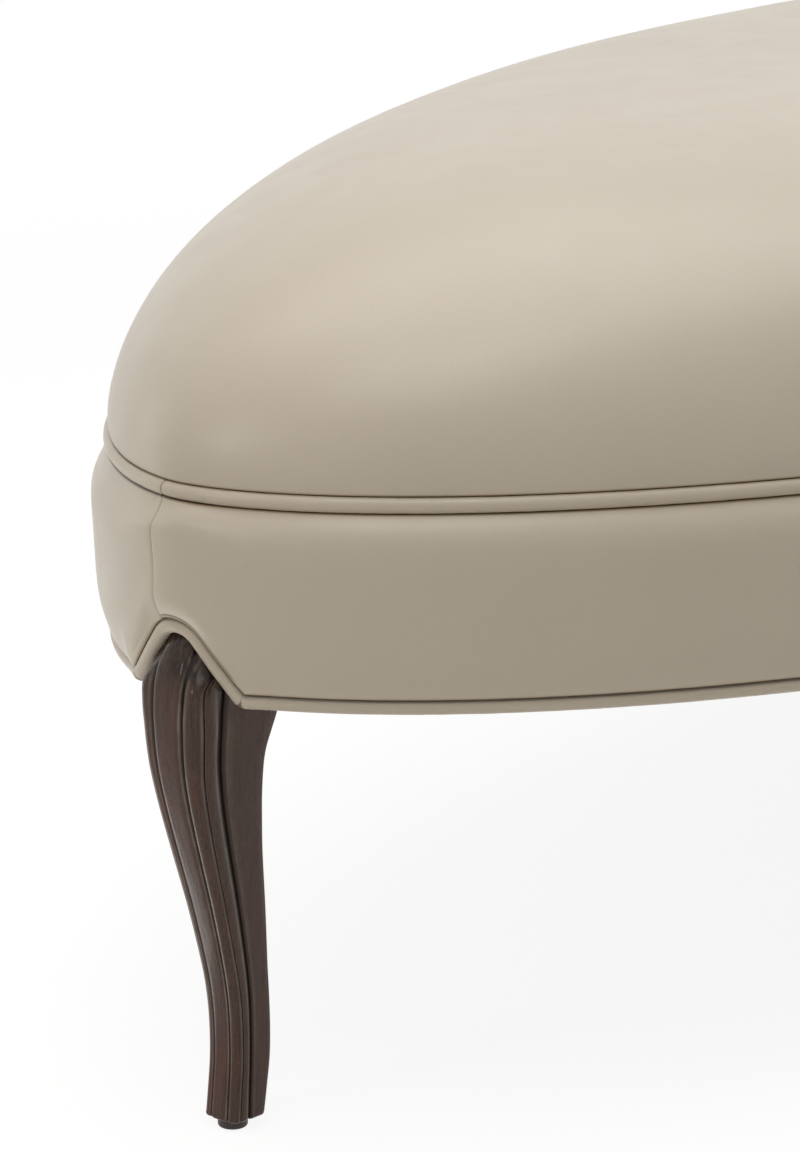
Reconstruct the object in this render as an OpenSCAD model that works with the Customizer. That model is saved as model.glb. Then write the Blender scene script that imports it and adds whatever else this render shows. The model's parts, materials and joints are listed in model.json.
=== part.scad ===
// Oval upholstered bed bench on four reeded cabriole legs.
// Millimetres. The origin is on the floor under the centre of the oval,
// +X runs along the bench and +Z points up.

/* [Seat] */
// Length of the seat oval at the seam above the upper welt
bench_l = 1679; // [1350:1:1900]
// Width of the seat oval at the same seam
bench_w = 709; // [600:1:880]
// Height of the crown of the seat above the floor
seat_h = 490; // [440:1:540]
// Height of the seam above the upper welt
welt_line_h = 348; // [330:0.5:370]
// Height of the underside of the lower welt
rail_line_h = 237; // [215:1:250]
// Power of the oval outline along its sides, where 2 is an ellipse
side_power = 2; // [1.8:0.02:2.2]
// Power of the oval outline at its ends, where less is more pointed
end_power = 1.7; // [1.66:0.02:2.2]
// Power that sets how square the shoulder of the seat is in plan
shoulder_power = 5.88; // [4:0.02:8]
// Power that sets how flat the crown of the seat is
crown_power = 1.92; // [1.6:0.02:2.4]

/* [Upholstery] */
// Thickness of the cover material
cover_t = 2; // [1.5:0.1:3]
// Thickness of the wadding under the seat cover
wadding_t = 10; // [6:0.5:14]
// How far the band swells out past the oval
band_swell = 8.3; // [6:0.1:11]
// Diameter of the upper welt
upper_welt_d = 8.6; // [7:0.1:10]
// Diameter of the lower welt
lower_welt_d = 8; // [6.5:0.1:9]
// How far the middle of the upper welt lies inside the oval
upper_welt_inset = 2.3; // [1.5:0.1:4]
// How far the middle of the lower welt lies inside the oval
lower_welt_inset = 4.5; // [3:0.1:6]
// Gap left between one soft layer and the next
layer_gap = 0.3; // [0.2:0.05:0.5]
// How far the seat layers step in where they stand behind the welt
skirt_step = 6; // [5:0.5:8]
// Thickness of the hessian under the padding
hessian_t = 1; // [0.8:0.1:1.4]
// Width of one webbing strap
strap_w = 50; // [40:1:60]
// Thickness of the webbing
strap_t = 1.5; // [1.2:0.1:2]
// Distance from one webbing strap to the next
strap_pitch = 80; // [70:1:110]
// Thickness of the dust cover
dust_t = 0.7; // [0.5:0.1:1]
// How far the edge of the dust cover lies inside the oval
dust_inset = 24; // [21:0.5:28]
// Length of a staple crown
staple_l = 10; // [8:0.5:12]
// Width of the staple wire
staple_w = 1.2; // [1:0.1:1.5]
// Thickness of the staple wire
staple_t = 0.5; // [0.4:0.05:0.6]

/* [Arches over the legs] */
// Height of the middle line of the welt over a leg, above its straight run
arch_h = 33.5; // [28:0.5:36]
// Radius of the top of the arch along that line
arch_r = 13; // [10:0.5:16]
// Steepness of the flanks of the arch in degrees
arch_slope = 48; // [44:1:54]

/* [Legs] */
// Depth of a leg at the knee, from its front to its back
leg_depth = 54; // [50:0.5:57]
// Width of a leg at the knee
leg_w = 44; // [40:0.5:46]
// Depth of the grooves between the reeds
reed_depth = 2.2; // [1.2:0.1:3]
// Depth of the square post above the knee
post_d = 42; // [38:0.5:46]

/* [Frame] */
// How far the outer face of the rails lies inside the oval
rail_inset = 16; // [15:0.5:18]
// Thickness of a curved rail
rail_t = 26; // [24:0.5:28]
// Height of the rails above the underside of the lower welt
rail_lift = 1.5; // [1.4:0.1:2]
// Length of a leg block
block_l = 144; // [130:1:150]
// How far the inner face of a leg block lies inside the oval
block_inset = 88; // [85:0.5:94]
// How far the edges of the leg blocks and cross rails stand back from
// the edges of the curved rails
block_gap = 6; // [4:0.5:12]
// Width of a cross rail
cross_w = 45; // [40:1:60]

/* [Fasteners and feet] */
// Diameter of a dowel
dowel_d = 10; // [8:0.5:10.5]
// Length of a dowel
dowel_l = 38; // [32:1:40]
// From the edge of a curved rail to the middle of a dowel
dowel_edge = 18; // [14:0.5:24]
// Distance between the two dowels at each end of a cross rail
cross_dowel_gap = 26; // [22:1:28]
// Diameter of a wood screw
screw_d = 5; // [4:0.5:5.5]
// Length of a wood screw
screw_l = 54; // [48:1:55]
// Diameter of the screw head
screw_head_d = 9.5; // [8.5:0.1:10.5]
// Height of the countersunk screw head
screw_head_h = 3; // [2.5:0.1:4]
// From the edge of a leg block to the middle of a screw
screw_edge = 14; // [10:0.5:20]
// Distance from the middle of a block to its outer screws
screw_reach = 46; // [42:1:48]
// Radial clearance of a fastener in its hole
hole_gap = 0.1; // [0.05:0.01:0.15]
// Diameter of a glide
glide_d = 15.6; // [13:0.1:17]
// Height of a glide
glide_h = 5.7; // [5:0.1:8]
// Radius of the lower edge of a glide
glide_r = 1.6; // [1:0.1:2.2]
// Diameter of the nail of a glide
nail_d = 2.5; // [2:0.1:3]
// Length of the nail of a glide
nail_l = 19; // [16:0.5:24]
// Thickness of the glide under its nail
glide_floor = 2.4; // [2:0.1:3]

/* [Hidden] */

cover_col = [0.77, 0.72, 0.64];
welt_col = [0.73, 0.67, 0.59];
dark_wood_col = [0.25, 0.19, 0.16];
pale_wood_col = [0.76, 0.63, 0.45];
foam_col = [0.93, 0.88, 0.68];
wadding_col = [0.95, 0.95, 0.93];
hessian_col = [0.66, 0.54, 0.36];
webbing_col = [0.25, 0.22, 0.2];
dust_col = [0.1, 0.1, 0.1];
steel_col = [0.7, 0.7, 0.72];
glide_col = [0.2, 0.14, 0.11];

half_l = bench_l / 2;
half_w = bench_w / 2;
rail_bottom = rail_line_h + rail_lift;
band_top = welt_line_h - upper_welt_d - 2 * layer_gap;
rail_top = band_top - hessian_t - strap_t;
knee_top = rail_line_h + arch_h;
post_inner = rail_inset + post_d;
rail_h = rail_top - rail_bottom;
dowel_rise = rail_h - 2 * dowel_edge;
block_bottom = rail_bottom + block_gap;
block_h = rail_h - 2 * block_gap;
block_mid = block_bottom + block_h / 2;
screw_rise = block_h - 2 * screw_edge;
bore_n = 32;
overrun = 5;

// Form of a leg. Each row is the height as a share of the
// carved part, the front and back faces as shares of the depth, counted
// inwards from the oval, and the half width as a share of half the width.
leg_form_shares = [
  [0.000, 0.463, 0.872, 0.559], [0.057, 0.490, 0.926, 0.538],
  [0.119, 0.515, 0.974, 0.524], [0.181, 0.516, 0.981, 0.526],
  [0.243, 0.494, 0.964, 0.544], [0.304, 0.444, 0.937, 0.570],
  [0.426, 0.294, 0.884, 0.646], [0.547, 0.117, 0.818, 0.733],
  [0.608, 0.028, 0.797, 0.779], [0.667, -0.052, 0.783, 0.826],
  [0.727, -0.119, 0.789, 0.878], [0.757, -0.141, 0.814, 0.904],
  [0.787, -0.156, 0.869, 0.930], [0.816, -0.163, 0.925, 0.956],
  [0.850, -0.165, 0.975, 0.975], [0.908, -0.130, 1.010, 0.991],
  [0.953, -0.046, 1.020, 1.000], [0.983, 0.111, 1.030, 1.000],
  [1.000, 0.200, 1.040, 1.000]
];
leg_ring_shares = [
  0, 0.03, 0.057, 0.088, 0.119, 0.181, 0.243, 0.304, 0.365, 0.426, 0.487, 0.547, 0.608, 0.667,
  0.727, 0.757, 0.787, 0.816, 0.85, 0.88, 0.908, 0.932, 0.953, 0.969, 0.983, 1
];
// Angles where the grooves cut the front, in the superellipse's own angle
groove_angles = [-90, -63.7, -11.2, 11.2, 63.7, 90];
front_power = 4.24;
// Where the points of a reed lie across it, and how deep each one is
reed_across_shares = [0, 0.12, 0.5, 0.88];
reed_sink_shares = [1, 0.18, 0, 0.18];
back_round_share = 0.05;
// Share of the height where the top of the knee starts to follow the arch
knee_start_share = 0.8;
glide_place = leg_depth * (leg_form_shares[0][1] + leg_form_shares[0][2]) / 2;

// Stations over one arch as shares of its half width, and between arches
arch_mark_shares = [0, 0.13, 0.27, 0.42, 0.7, 0.96, 1.06, 1.35];
plain_steps = 13;
// Out to this share of an arch's half width the band's padding is cut away
clear_mark_share = 0.8;
staple_n = 60;
// Height up the band and how far it swells out there
band_form_shares = [[0, 0.06], [0.08, 0.45], [0.3, 0.78], [0.66, 1], [0.86, 0.83], [1, 0.2]];
seat_sides = 48;
crown_angles = [0, 9, 18, 28, 38, 48, 58, 68, 77, 84];
welt_sides = 6;
upper_welt_n = 72;
// Turn of the band's end seams off the ends of the oval
seam_turn = 2.4;
// Angle on the oval where a side cross rail meets the curved rail
cross_turn = 60;

arch_top_d = arch_r * sin(arch_slope);
arch_mid_z = arch_h - arch_r;
arch_half_w = arch_top_d + (arch_mid_z + arch_r * cos(arch_slope)) / tan(arch_slope);

function sgn(v) = v < 0 ? -1 : 1;
function flip(list) = [for (i = [len(list) - 1:-1:0]) list[i]];
function last(list) = list[len(list) - 1];

// A point of the oval, its outward normal, and the point moved along it
function oval_point(t) = [
  half_l * sgn(cos(t)) * pow(abs(cos(t)), 2 / side_power),
  half_w * sgn(sin(t)) * pow(abs(sin(t)), 2 / end_power)
];
function oval_normal(t) =
  let (v = [sgn(cos(t)) * pow(abs(cos(t)), 2 - 2 / side_power) * side_power / half_l,
            sgn(sin(t)) * pow(abs(sin(t)), 2 - 2 / end_power) * end_power / half_w])
  v / norm(v);
function edge(t, out) = oval_point(t) + out * oval_normal(t);
// How far the oval falls back at a distance d from its end or its side
function fall(d, at_end) = at_end
  ? half_l * (1 - pow(1 - pow(d / half_w, end_power), 1 / side_power))
  : half_w * (1 - pow(1 - pow(d / half_l, side_power), 1 / end_power));

// Angles of the stations from an end of the oval to the middle of its side
function end_angle(d) = asin(pow(d / half_w, end_power / 2));
function side_angle(d) = 90 - asin(pow(d / half_l, side_power / 2));
function plain_angles(a, b) = [for (i = [1:plain_steps - 1]) a + (b - a) * i / plain_steps];
marks = arch_mark_shares * arch_half_w;
quarter = concat(
  [for (d = marks) end_angle(d)],
  plain_angles(end_angle(last(marks)), side_angle(last(marks))),
  [for (d = flip(marks)) side_angle(d)]
);
half_ring = concat(quarter, [for (i = [1:len(quarter) - 1]) 180 - flip(quarter)[i]]);
function without_last(list) = [for (i = [0:len(list) - 2]) list[i]];
whole_ring = concat(without_last(half_ring), [for (t = without_last(half_ring)) t + 180]);
function between(a, b) =
  concat([a], [for (turn = [-360, 0]) for (t = whole_ring) if (t + turn > a && t + turn < b) t + turn], [b]);
// The front and back panels of the band, which meet at the end seams
front_angles = between(-180 - seam_turn, seam_turn);
back_angles = between(seam_turn, 180 - seam_turn);

// Height of a line that follows the arches, off millimetres above the
// middle line of the welt
welt_mid_z = rail_line_h + lower_welt_d / 2;
function arch_line(d, off) =
  let (r = arch_r + off, top_d = r * sin(arch_slope))
  d < top_d ? arch_mid_z + sqrt(r * r - d * d)
            : max(off, arch_mid_z + r * cos(arch_slope) - (d - top_d) * tan(arch_slope));
function leg_distance(t) = min(abs(oval_point(t)[0]), abs(oval_point(t)[1]));

// Triangles between rings of points. A ring runs anticlockwise as seen from
// the rings that follow it.
function quad(a, b, c, d) = [[a, c, b], [a, d, c]];
function ring_faces(rings, n, first = 0) = [
  for (i = [0:rings - 2]) for (j = [0:n - 1])
    let (k = (j + 1) % n, low = first + i * n, high = low + n)
    each quad(low + j, low + k, high + k, high + j)
];
function turned(faces) = [for (f = faces) flip(f)];
function fan(first, n, tip) = [for (j = [0:n - 1]) [first + j, tip, first + (j + 1) % n]];
module loft(rings) {
  n = len(rings[0]);
  m = len(rings);
  polyhedron(
    points = [for (ring = rings) each ring],
    faces = concat(
      [[for (j = [0:n - 1]) j]],
      ring_faces(m, n),
      [[for (j = [n - 1:-1:0]) (m - 1) * n + j]]
    )
  );
}
module closed_loft(rings) {
  n = len(rings[0]);
  m = len(rings);
  polyhedron(
    points = [for (ring = rings) each ring],
    faces = concat(
      ring_faces(m, n),
      [for (j = [0:n - 1]) let (k = (j + 1) % n, a = (m - 1) * n) each quad(a + j, a + k, k, j)]
    )
  );
}

// A flat oval plate whose edge lies out past the oval, or in from it
module oval_plate(out, low, high) {
  translate([0, 0, low])
    linear_extrude(high - low)
      polygon([for (t = whole_ring) edge(t, out)]);
}

// A leg and its fittings are drawn at the origin, pointing to -X, and are
// turned and moved to their place on the oval.
module at_left() { translate([-half_l, 0, 0]) children(); }
module at_right() { translate([half_l, 0, 0]) rotate([0, 0, 180]) children(); }
module at_front() { translate([0, -half_w, 0]) rotate([0, 0, 90]) children(); }
module at_back() { translate([0, half_w, 0]) rotate([0, 0, -90]) children(); }

// One column of the leg's form at a share of its height, eased with a cubic
function row_slope(i, c) =
  let (a = max(i - 1, 0), b = min(i + 1, len(leg_form_shares) - 1))
  (leg_form_shares[b][c] - leg_form_shares[a][c]) / (leg_form_shares[b][0] - leg_form_shares[a][0]);
function row_at(s, i = 0) =
  i >= len(leg_form_shares) - 2 || s < leg_form_shares[i + 1][0] ? i : row_at(s, i + 1);
function leg_share(s, c) =
  let (i = row_at(s), a = leg_form_shares[i], b = leg_form_shares[i + 1],
       w = b[0] - a[0], u = (s - a[0]) / w)
  a[c] * (1 + 2 * u) * (1 - u) * (1 - u) + b[c] * u * u * (3 - 2 * u)
    + w * u * (1 - u) * ((1 - u) * row_slope(i, c) - u * row_slope(i + 1, c));

// The front of the leg is half a superellipse cut by grooves. The top of the
// knee drops away at its sides so that it stays under the arch.
function knee_ease(s) = let (u = max(0, (s - knee_start_share) / (1 - knee_start_share))) u * u * (3 - 2 * u);
function knee_drop(y) = arch_line(0, -lower_welt_d / 2) - arch_line(abs(y), -lower_welt_d / 2);
function front_point(angle, front, half, sink, z, ease) =
  let (x = 1 - pow(abs(cos(angle)), 2 / front_power),
       y = -sgn(sin(angle)) * pow(abs(sin(angle)), 2 / front_power),
       across = half * y - sink * y * x)
  [front + half * x + sink * (1 - x), across, z - ease * (1 - x) * knee_drop(across)];
reed_points = concat(
  [for (i = [0:len(groove_angles) - 2]) for (j = [0:len(reed_across_shares) - 1])
    [groove_angles[i] + (groove_angles[i + 1] - groove_angles[i]) * reed_across_shares[j],
     reed_sink_shares[j]]],
  [[last(groove_angles), 1]]
);
function leg_ring(front, back, half, sink, z, ease) =
  let (r = 2 * half * back_round_share, side = front + half + sink)
  concat(
    [for (p = reed_points) front_point(p[0], front, half, sink * p[1], z, ease)],
    [[side, -half, z], [back - r, -half, z], [back, -half + r, z],
     [back, half - r, z], [back - r, half, z], [side, half, z]]
  );
function leg_ring_at(s) =
  let (half = leg_w / 2 * leg_share(s, 3))
  leg_ring(leg_depth * leg_share(s, 1), leg_depth * leg_share(s, 2), half,
           reed_depth * leg_share(s, 3), glide_h + s * (knee_top - glide_h), knee_ease(s));

module post_box(top = rail_top) {
  translate([rail_inset, -leg_w / 2, knee_top - overrun])
    cube([post_d, leg_w, top - knee_top + overrun]);
}
// The whole space of a post, up and down through the rails
module post_space() {
  translate([rail_inset - overrun, -leg_w / 2, rail_bottom - overrun])
    cube([post_d + overrun, leg_w, rail_top - rail_bottom + 2 * overrun]);
}

module dowel(gap) {
  translate([0, 0, -dowel_l / 2 - gap]) cylinder(d = dowel_d + 2 * gap, h = dowel_l + 2 * gap, $fn = bore_n);
}
// Dowels that join one leg post to the rails on both sides of it
module post_dowels(at_end, gap) {
  for (side = [-1, 1]) for (rise = [-0.5, 0.5])
    translate([
      fall(leg_w / 2 + dowel_l / 4, at_end) + rail_inset + rail_t / 2,
      side * leg_w / 2,
      block_mid + rise * dowel_rise
    ])
      rotate([90, 0, 0]) dowel(gap);
}
cross_joint = edge(cross_turn, -rail_inset - rail_t);
// Dowels at both ends of a cross rail, whose joints lie at +-y
module cross_dowels(x, y, gap) {
  for (side = [-1, 1]) for (step = [-0.5, 0.5])
    translate([x + step * cross_dowel_gap, side * y, block_mid]) rotate([90, 0, 0]) dowel(gap);
}
module all_cross_dowels(gap) {
  cross_dowels(-cross_joint[0], cross_joint[1], gap);
  cross_dowels(0, half_w - block_inset, gap);
  cross_dowels(cross_joint[0], cross_joint[1], gap);
}
module all_dowels(gap) {
  at_left() post_dowels(true, gap);
  at_right() post_dowels(true, gap);
  at_front() post_dowels(false, gap);
  at_back() post_dowels(false, gap);
  all_cross_dowels(gap);
}

module screw(gap) {
  rotate([0, -90, 0])
    rotate_extrude($fn = bore_n)
      polygon([
        [0, 0], [screw_head_d / 2 + gap, 0], [screw_d / 2 + gap, screw_head_h + gap],
        [screw_d / 2 + gap, screw_l + gap], [0, screw_l + gap]
      ]);
}
module block_screw_set(gap) {
  for (place = [-screw_reach, 0, screw_reach]) for (rise = [-0.5, 0.5])
    translate([block_inset, place, block_mid + rise * screw_rise]) screw(gap);
}
module all_screws(gap) {
  at_left() block_screw_set(gap);
  at_right() block_screw_set(gap);
  at_front() block_screw_set(gap);
  at_back() block_screw_set(gap);
}

module leg(at_end) {
  color(dark_wood_col)
    difference() {
      union() {
        loft(concat(
          [for (s = leg_ring_shares) leg_ring_at(s)],
          [leg_ring(rail_inset, post_inner, leg_w / 2, reed_depth / 2, knee_top + layer_gap, 0)]
        ));
        post_box();
      }
      translate([glide_place, 0, 0]) nail(hole_gap);
      block_screw_set(hole_gap);
      post_dowels(at_end, hole_gap);
    }
}
module leg_left() { at_left() leg(true); }
module leg_right() { at_right() leg(true); }
module leg_front() { at_front() leg(false); }
module leg_back() { at_back() leg(false); }

module nail(gap) {
  translate([0, 0, glide_floor])
    cylinder(d = nail_d + 2 * gap, h = nail_l + gap, $fn = bore_n);
}
module glide() {
  color(glide_col)
    translate([glide_place, 0, 0])
      difference() {
        rotate_extrude($fn = 2 * bore_n) {
          translate([0, glide_r]) square([glide_d / 2, glide_h - glide_r]);
          square([glide_d / 2 - glide_r, glide_h]);
          translate([glide_d / 2 - glide_r, glide_r])
            intersection() {
              circle(glide_r, $fn = bore_n);
              translate([0, -glide_r]) square(glide_r);
            }
        }
        nail(0);
      }
}
module glide_left() { at_left() glide(); }
module glide_right() { at_right() glide(); }
module glide_front() { at_front() glide(); }
module glide_back() { at_back() glide(); }
module glide_nails() {
  color(steel_col) {
    at_left() translate([glide_place, 0, 0]) nail(0);
    at_right() translate([glide_place, 0, 0]) nail(0);
    at_front() translate([glide_place, 0, 0]) nail(0);
    at_back() translate([glide_place, 0, 0]) nail(0);
  }
}

// Curved rails, one for each quarter of the oval
module rail(angles) {
  color(pale_wood_col)
    difference() {
      translate([0, 0, rail_bottom])
        linear_extrude(rail_top - rail_bottom)
          polygon(concat(
            [for (t = angles) edge(t, -rail_inset)],
            flip([for (t = angles) edge(t, -rail_inset - rail_t)])
          ));
      at_left() post_space();
      at_right() post_space();
      at_front() post_space();
      at_back() post_space();
      all_dowels(hole_gap);
      all_screws(hole_gap);
    }
}
module rail_back_right() { rail(quarter); }
module rail_back_left() { rail([for (t = quarter) 180 - t]); }
module rail_front_left() { rail([for (t = quarter) 180 + t]); }
module rail_front_right() { rail([for (t = quarter) -t]); }

module block_box() {
  translate([0, -block_l / 2, block_bottom]) cube([block_inset, block_l, block_h]);
}
module block_stock() {
  oval_plate(-rail_inset - rail_t, block_bottom - overrun, block_bottom + block_h + overrun);
}
module block_cuts() {
  post_space();
  block_screw_set(hole_gap);
}
module leg_block_left() {
  color(pale_wood_col)
    difference() {
      intersection() { block_stock(); at_left() block_box(); }
      at_left() block_cuts();
    }
}
module leg_block_right() {
  color(pale_wood_col)
    difference() {
      intersection() { block_stock(); at_right() block_box(); }
      at_right() block_cuts();
    }
}
module leg_block_front() {
  color(pale_wood_col)
    difference() {
      intersection() { block_stock(); at_front() block_box(); }
      at_front() block_cuts();
      all_cross_dowels(hole_gap);
    }
}
module leg_block_back() {
  color(pale_wood_col)
    difference() {
      intersection() { block_stock(); at_back() block_box(); }
      at_back() block_cuts();
      all_cross_dowels(hole_gap);
    }
}

module side_cross_rail(x) {
  color(pale_wood_col)
    difference() {
      intersection() {
        block_stock();
        translate([x - cross_w / 2, -half_w, block_bottom]) cube([cross_w, bench_w, block_h]);
      }
      all_cross_dowels(hole_gap);
    }
}
module cross_rail_left() { side_cross_rail(-cross_joint[0]); }
module cross_rail_right() { side_cross_rail(cross_joint[0]); }
module cross_rail_middle() {
  color(pale_wood_col)
    difference() {
      translate([-cross_w / 2, block_inset - half_w, block_bottom])
        cube([cross_w, bench_w - 2 * block_inset, block_h]);
      all_cross_dowels(hole_gap);
    }
}
module frame_dowels() { color(pale_wood_col) all_dowels(0); }
module block_screws() { color(steel_col) all_screws(0); }

// Deck under the padding
strap_reach = half_l - 2 * strap_pitch;
strap_count = floor(strap_reach / strap_pitch);
module seat_webbing() {
  color(webbing_col)
    intersection() {
      oval_plate(-rail_inset - rail_t / 2, rail_top, rail_top + strap_t);
      for (i = [-strap_count:strap_count])
        translate([i * strap_pitch - strap_w / 2, -half_w, rail_top - overrun])
          cube([strap_w, bench_w, strap_t + 2 * overrun]);
    }
}
module seat_hessian() {
  color(hessian_col) oval_plate(-rail_inset / 2 - hessian_t, rail_top + strap_t, band_top);
}

// Domed layers of the seat. A layer has its outer face inset millimetres
// inside the cover, and stands back where it passes the welt.
seat_angles = [for (i = [0:seat_sides - 1]) 360 * i / seat_sides];
function crown_ring(inset, base, angle) =
  let (k = pow(cos(angle), 2 / shoulder_power), rise = pow(sin(angle), 2 / crown_power))
  [for (t = seat_angles) let (p = k * edge(t, -inset)) [p[0], p[1], base + (seat_h - inset - base) * rise]];
function crown_rings(inset, base) = [for (angle = crown_angles) crown_ring(inset, base, angle)];
function skirt_ring(inset, z) = [for (t = seat_angles) let (p = edge(t, -inset)) [p[0], p[1], z]];
skirt_bottom = band_top + layer_gap;
skirt_top = welt_line_h + layer_gap;
function layer_rings(inset, skirted) = concat(
  skirted ? [skirt_ring(inset + skirt_step, skirt_bottom), skirt_ring(inset + skirt_step, skirt_top)] : [],
  crown_rings(inset, skirted ? skirt_top : welt_line_h)
);
module dome(inset) {
  rings = layer_rings(inset, true);
  m = len(rings);
  polyhedron(
    points = concat([for (ring = rings) each ring], [[0, 0, seat_h - inset]]),
    faces = concat(
      [[for (j = [0:seat_sides - 1]) j]],
      ring_faces(m, seat_sides),
      fan((m - 1) * seat_sides, seat_sides, m * seat_sides)
    )
  );
}
module dome_shell(inset, thick, skirted) {
  outer = layer_rings(inset, skirted);
  inner = layer_rings(inset + thick, skirted);
  m = len(outer);
  n = seat_sides;
  second = m * n + 1;
  polyhedron(
    points = concat(
      [for (ring = outer) each ring], [[0, 0, seat_h - inset]],
      [for (ring = inner) each ring], [[0, 0, seat_h - inset - thick]]
    ),
    faces = concat(
      ring_faces(m, n), fan((m - 1) * n, n, m * n),
      turned(ring_faces(m, n, second)), turned(fan(second + (m - 1) * n, n, second + m * n)),
      [for (j = [0:n - 1]) let (k = (j + 1) % n) each quad(second + j, second + k, k, j)]
    )
  );
}
module seat_cover() { color(cover_col) dome_shell(0, cover_t, false); }
module seat_wadding() { color(wadding_col) dome_shell(cover_t + layer_gap, wadding_t, true); }
module seat_foam() { color(foam_col) dome(cover_t + wadding_t + 2 * layer_gap); }

// Band round the side, drawn in at its edges and swelling between them
function band_bottom(t) = welt_mid_z + arch_line(leg_distance(t), lower_welt_d / 2 + layer_gap);
function band_point(t, f, inset) =
  let (p = edge(t, band_swell * f[1] - inset), low = band_bottom(t))
  [p[0], p[1], low + (band_top - low) * f[0]];
function band_ring(t) = concat(
  [for (f = flip(band_form_shares)) band_point(t, f, 0)],
  [for (f = band_form_shares) band_point(t, f, cover_t)]
);
module band_front() { color(cover_col) loft([for (t = front_angles) band_ring(t)]); }
module band_back() { color(cover_col) loft([for (t = back_angles) band_ring(t)]); }

// Padding between the band and the rails, cut clear of the knees
function padding_bottom(t) =
  leg_distance(t) < clear_mark_share * arch_half_w ? max(knee_top + 2 * layer_gap, band_bottom(t)) : band_bottom(t);
function padding_point(t, f) =
  let (p = edge(t, band_swell * f[1] - cover_t - layer_gap), low = padding_bottom(t))
  [p[0], p[1], low + (rail_top - low) * f[0]];
function padding_back_point(t, z) = let (p = edge(t, layer_gap - rail_inset)) [p[0], p[1], z];
function padding_ring(t) = concat(
  [for (f = flip(band_form_shares)) padding_point(t, f)],
  [padding_back_point(t, padding_bottom(t)), padding_back_point(t, rail_top)]
);
module band_padding_front() { color(wadding_col) loft([for (t = front_angles) padding_ring(t)]); }
module band_padding_back() { color(wadding_col) loft([for (t = back_angles) padding_ring(t)]); }

// Welts, swept along the oval square to their path
function welt_rings(path, normals, r) =
  let (n = len(path))
  [for (i = [0:n - 1])
    let (along = path[(i + 1) % n] - path[(i + n - 1) % n],
         side = [normals[i][0], normals[i][1], 0],
         up = cross(along, side) / norm(cross(along, side)))
    [for (j = [0:welt_sides - 1])
      let (a = 360 * j / welt_sides + 180 / welt_sides)
      path[i] + r * (cos(a) * side + sin(a) * up)]];
module upper_welt() {
  angles = [for (i = [0:upper_welt_n - 1]) 360 * i / upper_welt_n];
  z = welt_line_h - layer_gap - upper_welt_d / 2;
  color(welt_col)
    closed_loft(welt_rings(
      [for (t = angles) let (p = edge(t, -upper_welt_inset)) [p[0], p[1], z]],
      [for (t = angles) oval_normal(t)],
      upper_welt_d / 2
    ));
}
module lower_welt() {
  color(welt_col)
    closed_loft(welt_rings(
      [for (t = whole_ring)
        let (p = edge(t, -lower_welt_inset)) [p[0], p[1], welt_mid_z + arch_line(leg_distance(t), 0)]],
      [for (t = whole_ring) oval_normal(t)],
      lower_welt_d / 2
    ));
}

// Cloth that closes the underside, notched round the legs
module leg_notch() {
  translate([-overrun, -leg_w / 2 - layer_gap, rail_line_h - overrun])
    cube([post_inner + overrun + layer_gap, leg_w + 2 * layer_gap, 2 * overrun]);
}
module dust_cover() {
  color(dust_col)
    difference() {
      oval_plate(-dust_inset, rail_bottom - dust_t, rail_bottom);
      at_left() leg_notch();
      at_right() leg_notch();
      at_front() leg_notch();
      at_back() leg_notch();
    }
}
// Crowns of the staples that hold it; their legs are buried in the rails
module dust_cover_staples() {
  color(steel_col)
    for (i = [0:staple_n - 1])
      let (t = 360 * (i + 0.5) / staple_n, p = edge(t, -dust_inset - rail_t / 4), v = oval_normal(t))
        translate([p[0], p[1], rail_bottom - dust_t - staple_t])
          rotate([0, 0, atan2(v[1], v[0])])
            translate([-staple_w / 2, -staple_l / 2, 0])
              cube([staple_w, staple_l, staple_t]);
}

leg_left();
leg_right();
leg_front();
leg_back();
glide_left();
glide_right();
glide_front();
glide_back();
glide_nails();
rail_front_left();
rail_front_right();
rail_back_left();
rail_back_right();
leg_block_left();
leg_block_right();
leg_block_front();
leg_block_back();
cross_rail_left();
cross_rail_middle();
cross_rail_right();
frame_dowels();
block_screws();
seat_webbing();
seat_hessian();
seat_foam();
seat_wadding();
seat_cover();
band_padding_front();
band_padding_back();
band_front();
band_back();
upper_welt();
lower_welt();
dust_cover();
dust_cover_staples();
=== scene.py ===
"""Oval bed bench: a domed tight seat, a band round its side with piping above
and below, reeded cabriole legs on small glides, and a cloth that closes the
underside. Laid out as an add-on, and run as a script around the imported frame."""
import json
import math

import bmesh
import bpy
from bpy.props import FloatProperty, FloatVectorProperty, IntProperty, PointerProperty
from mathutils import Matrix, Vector, geometry, noise


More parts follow.
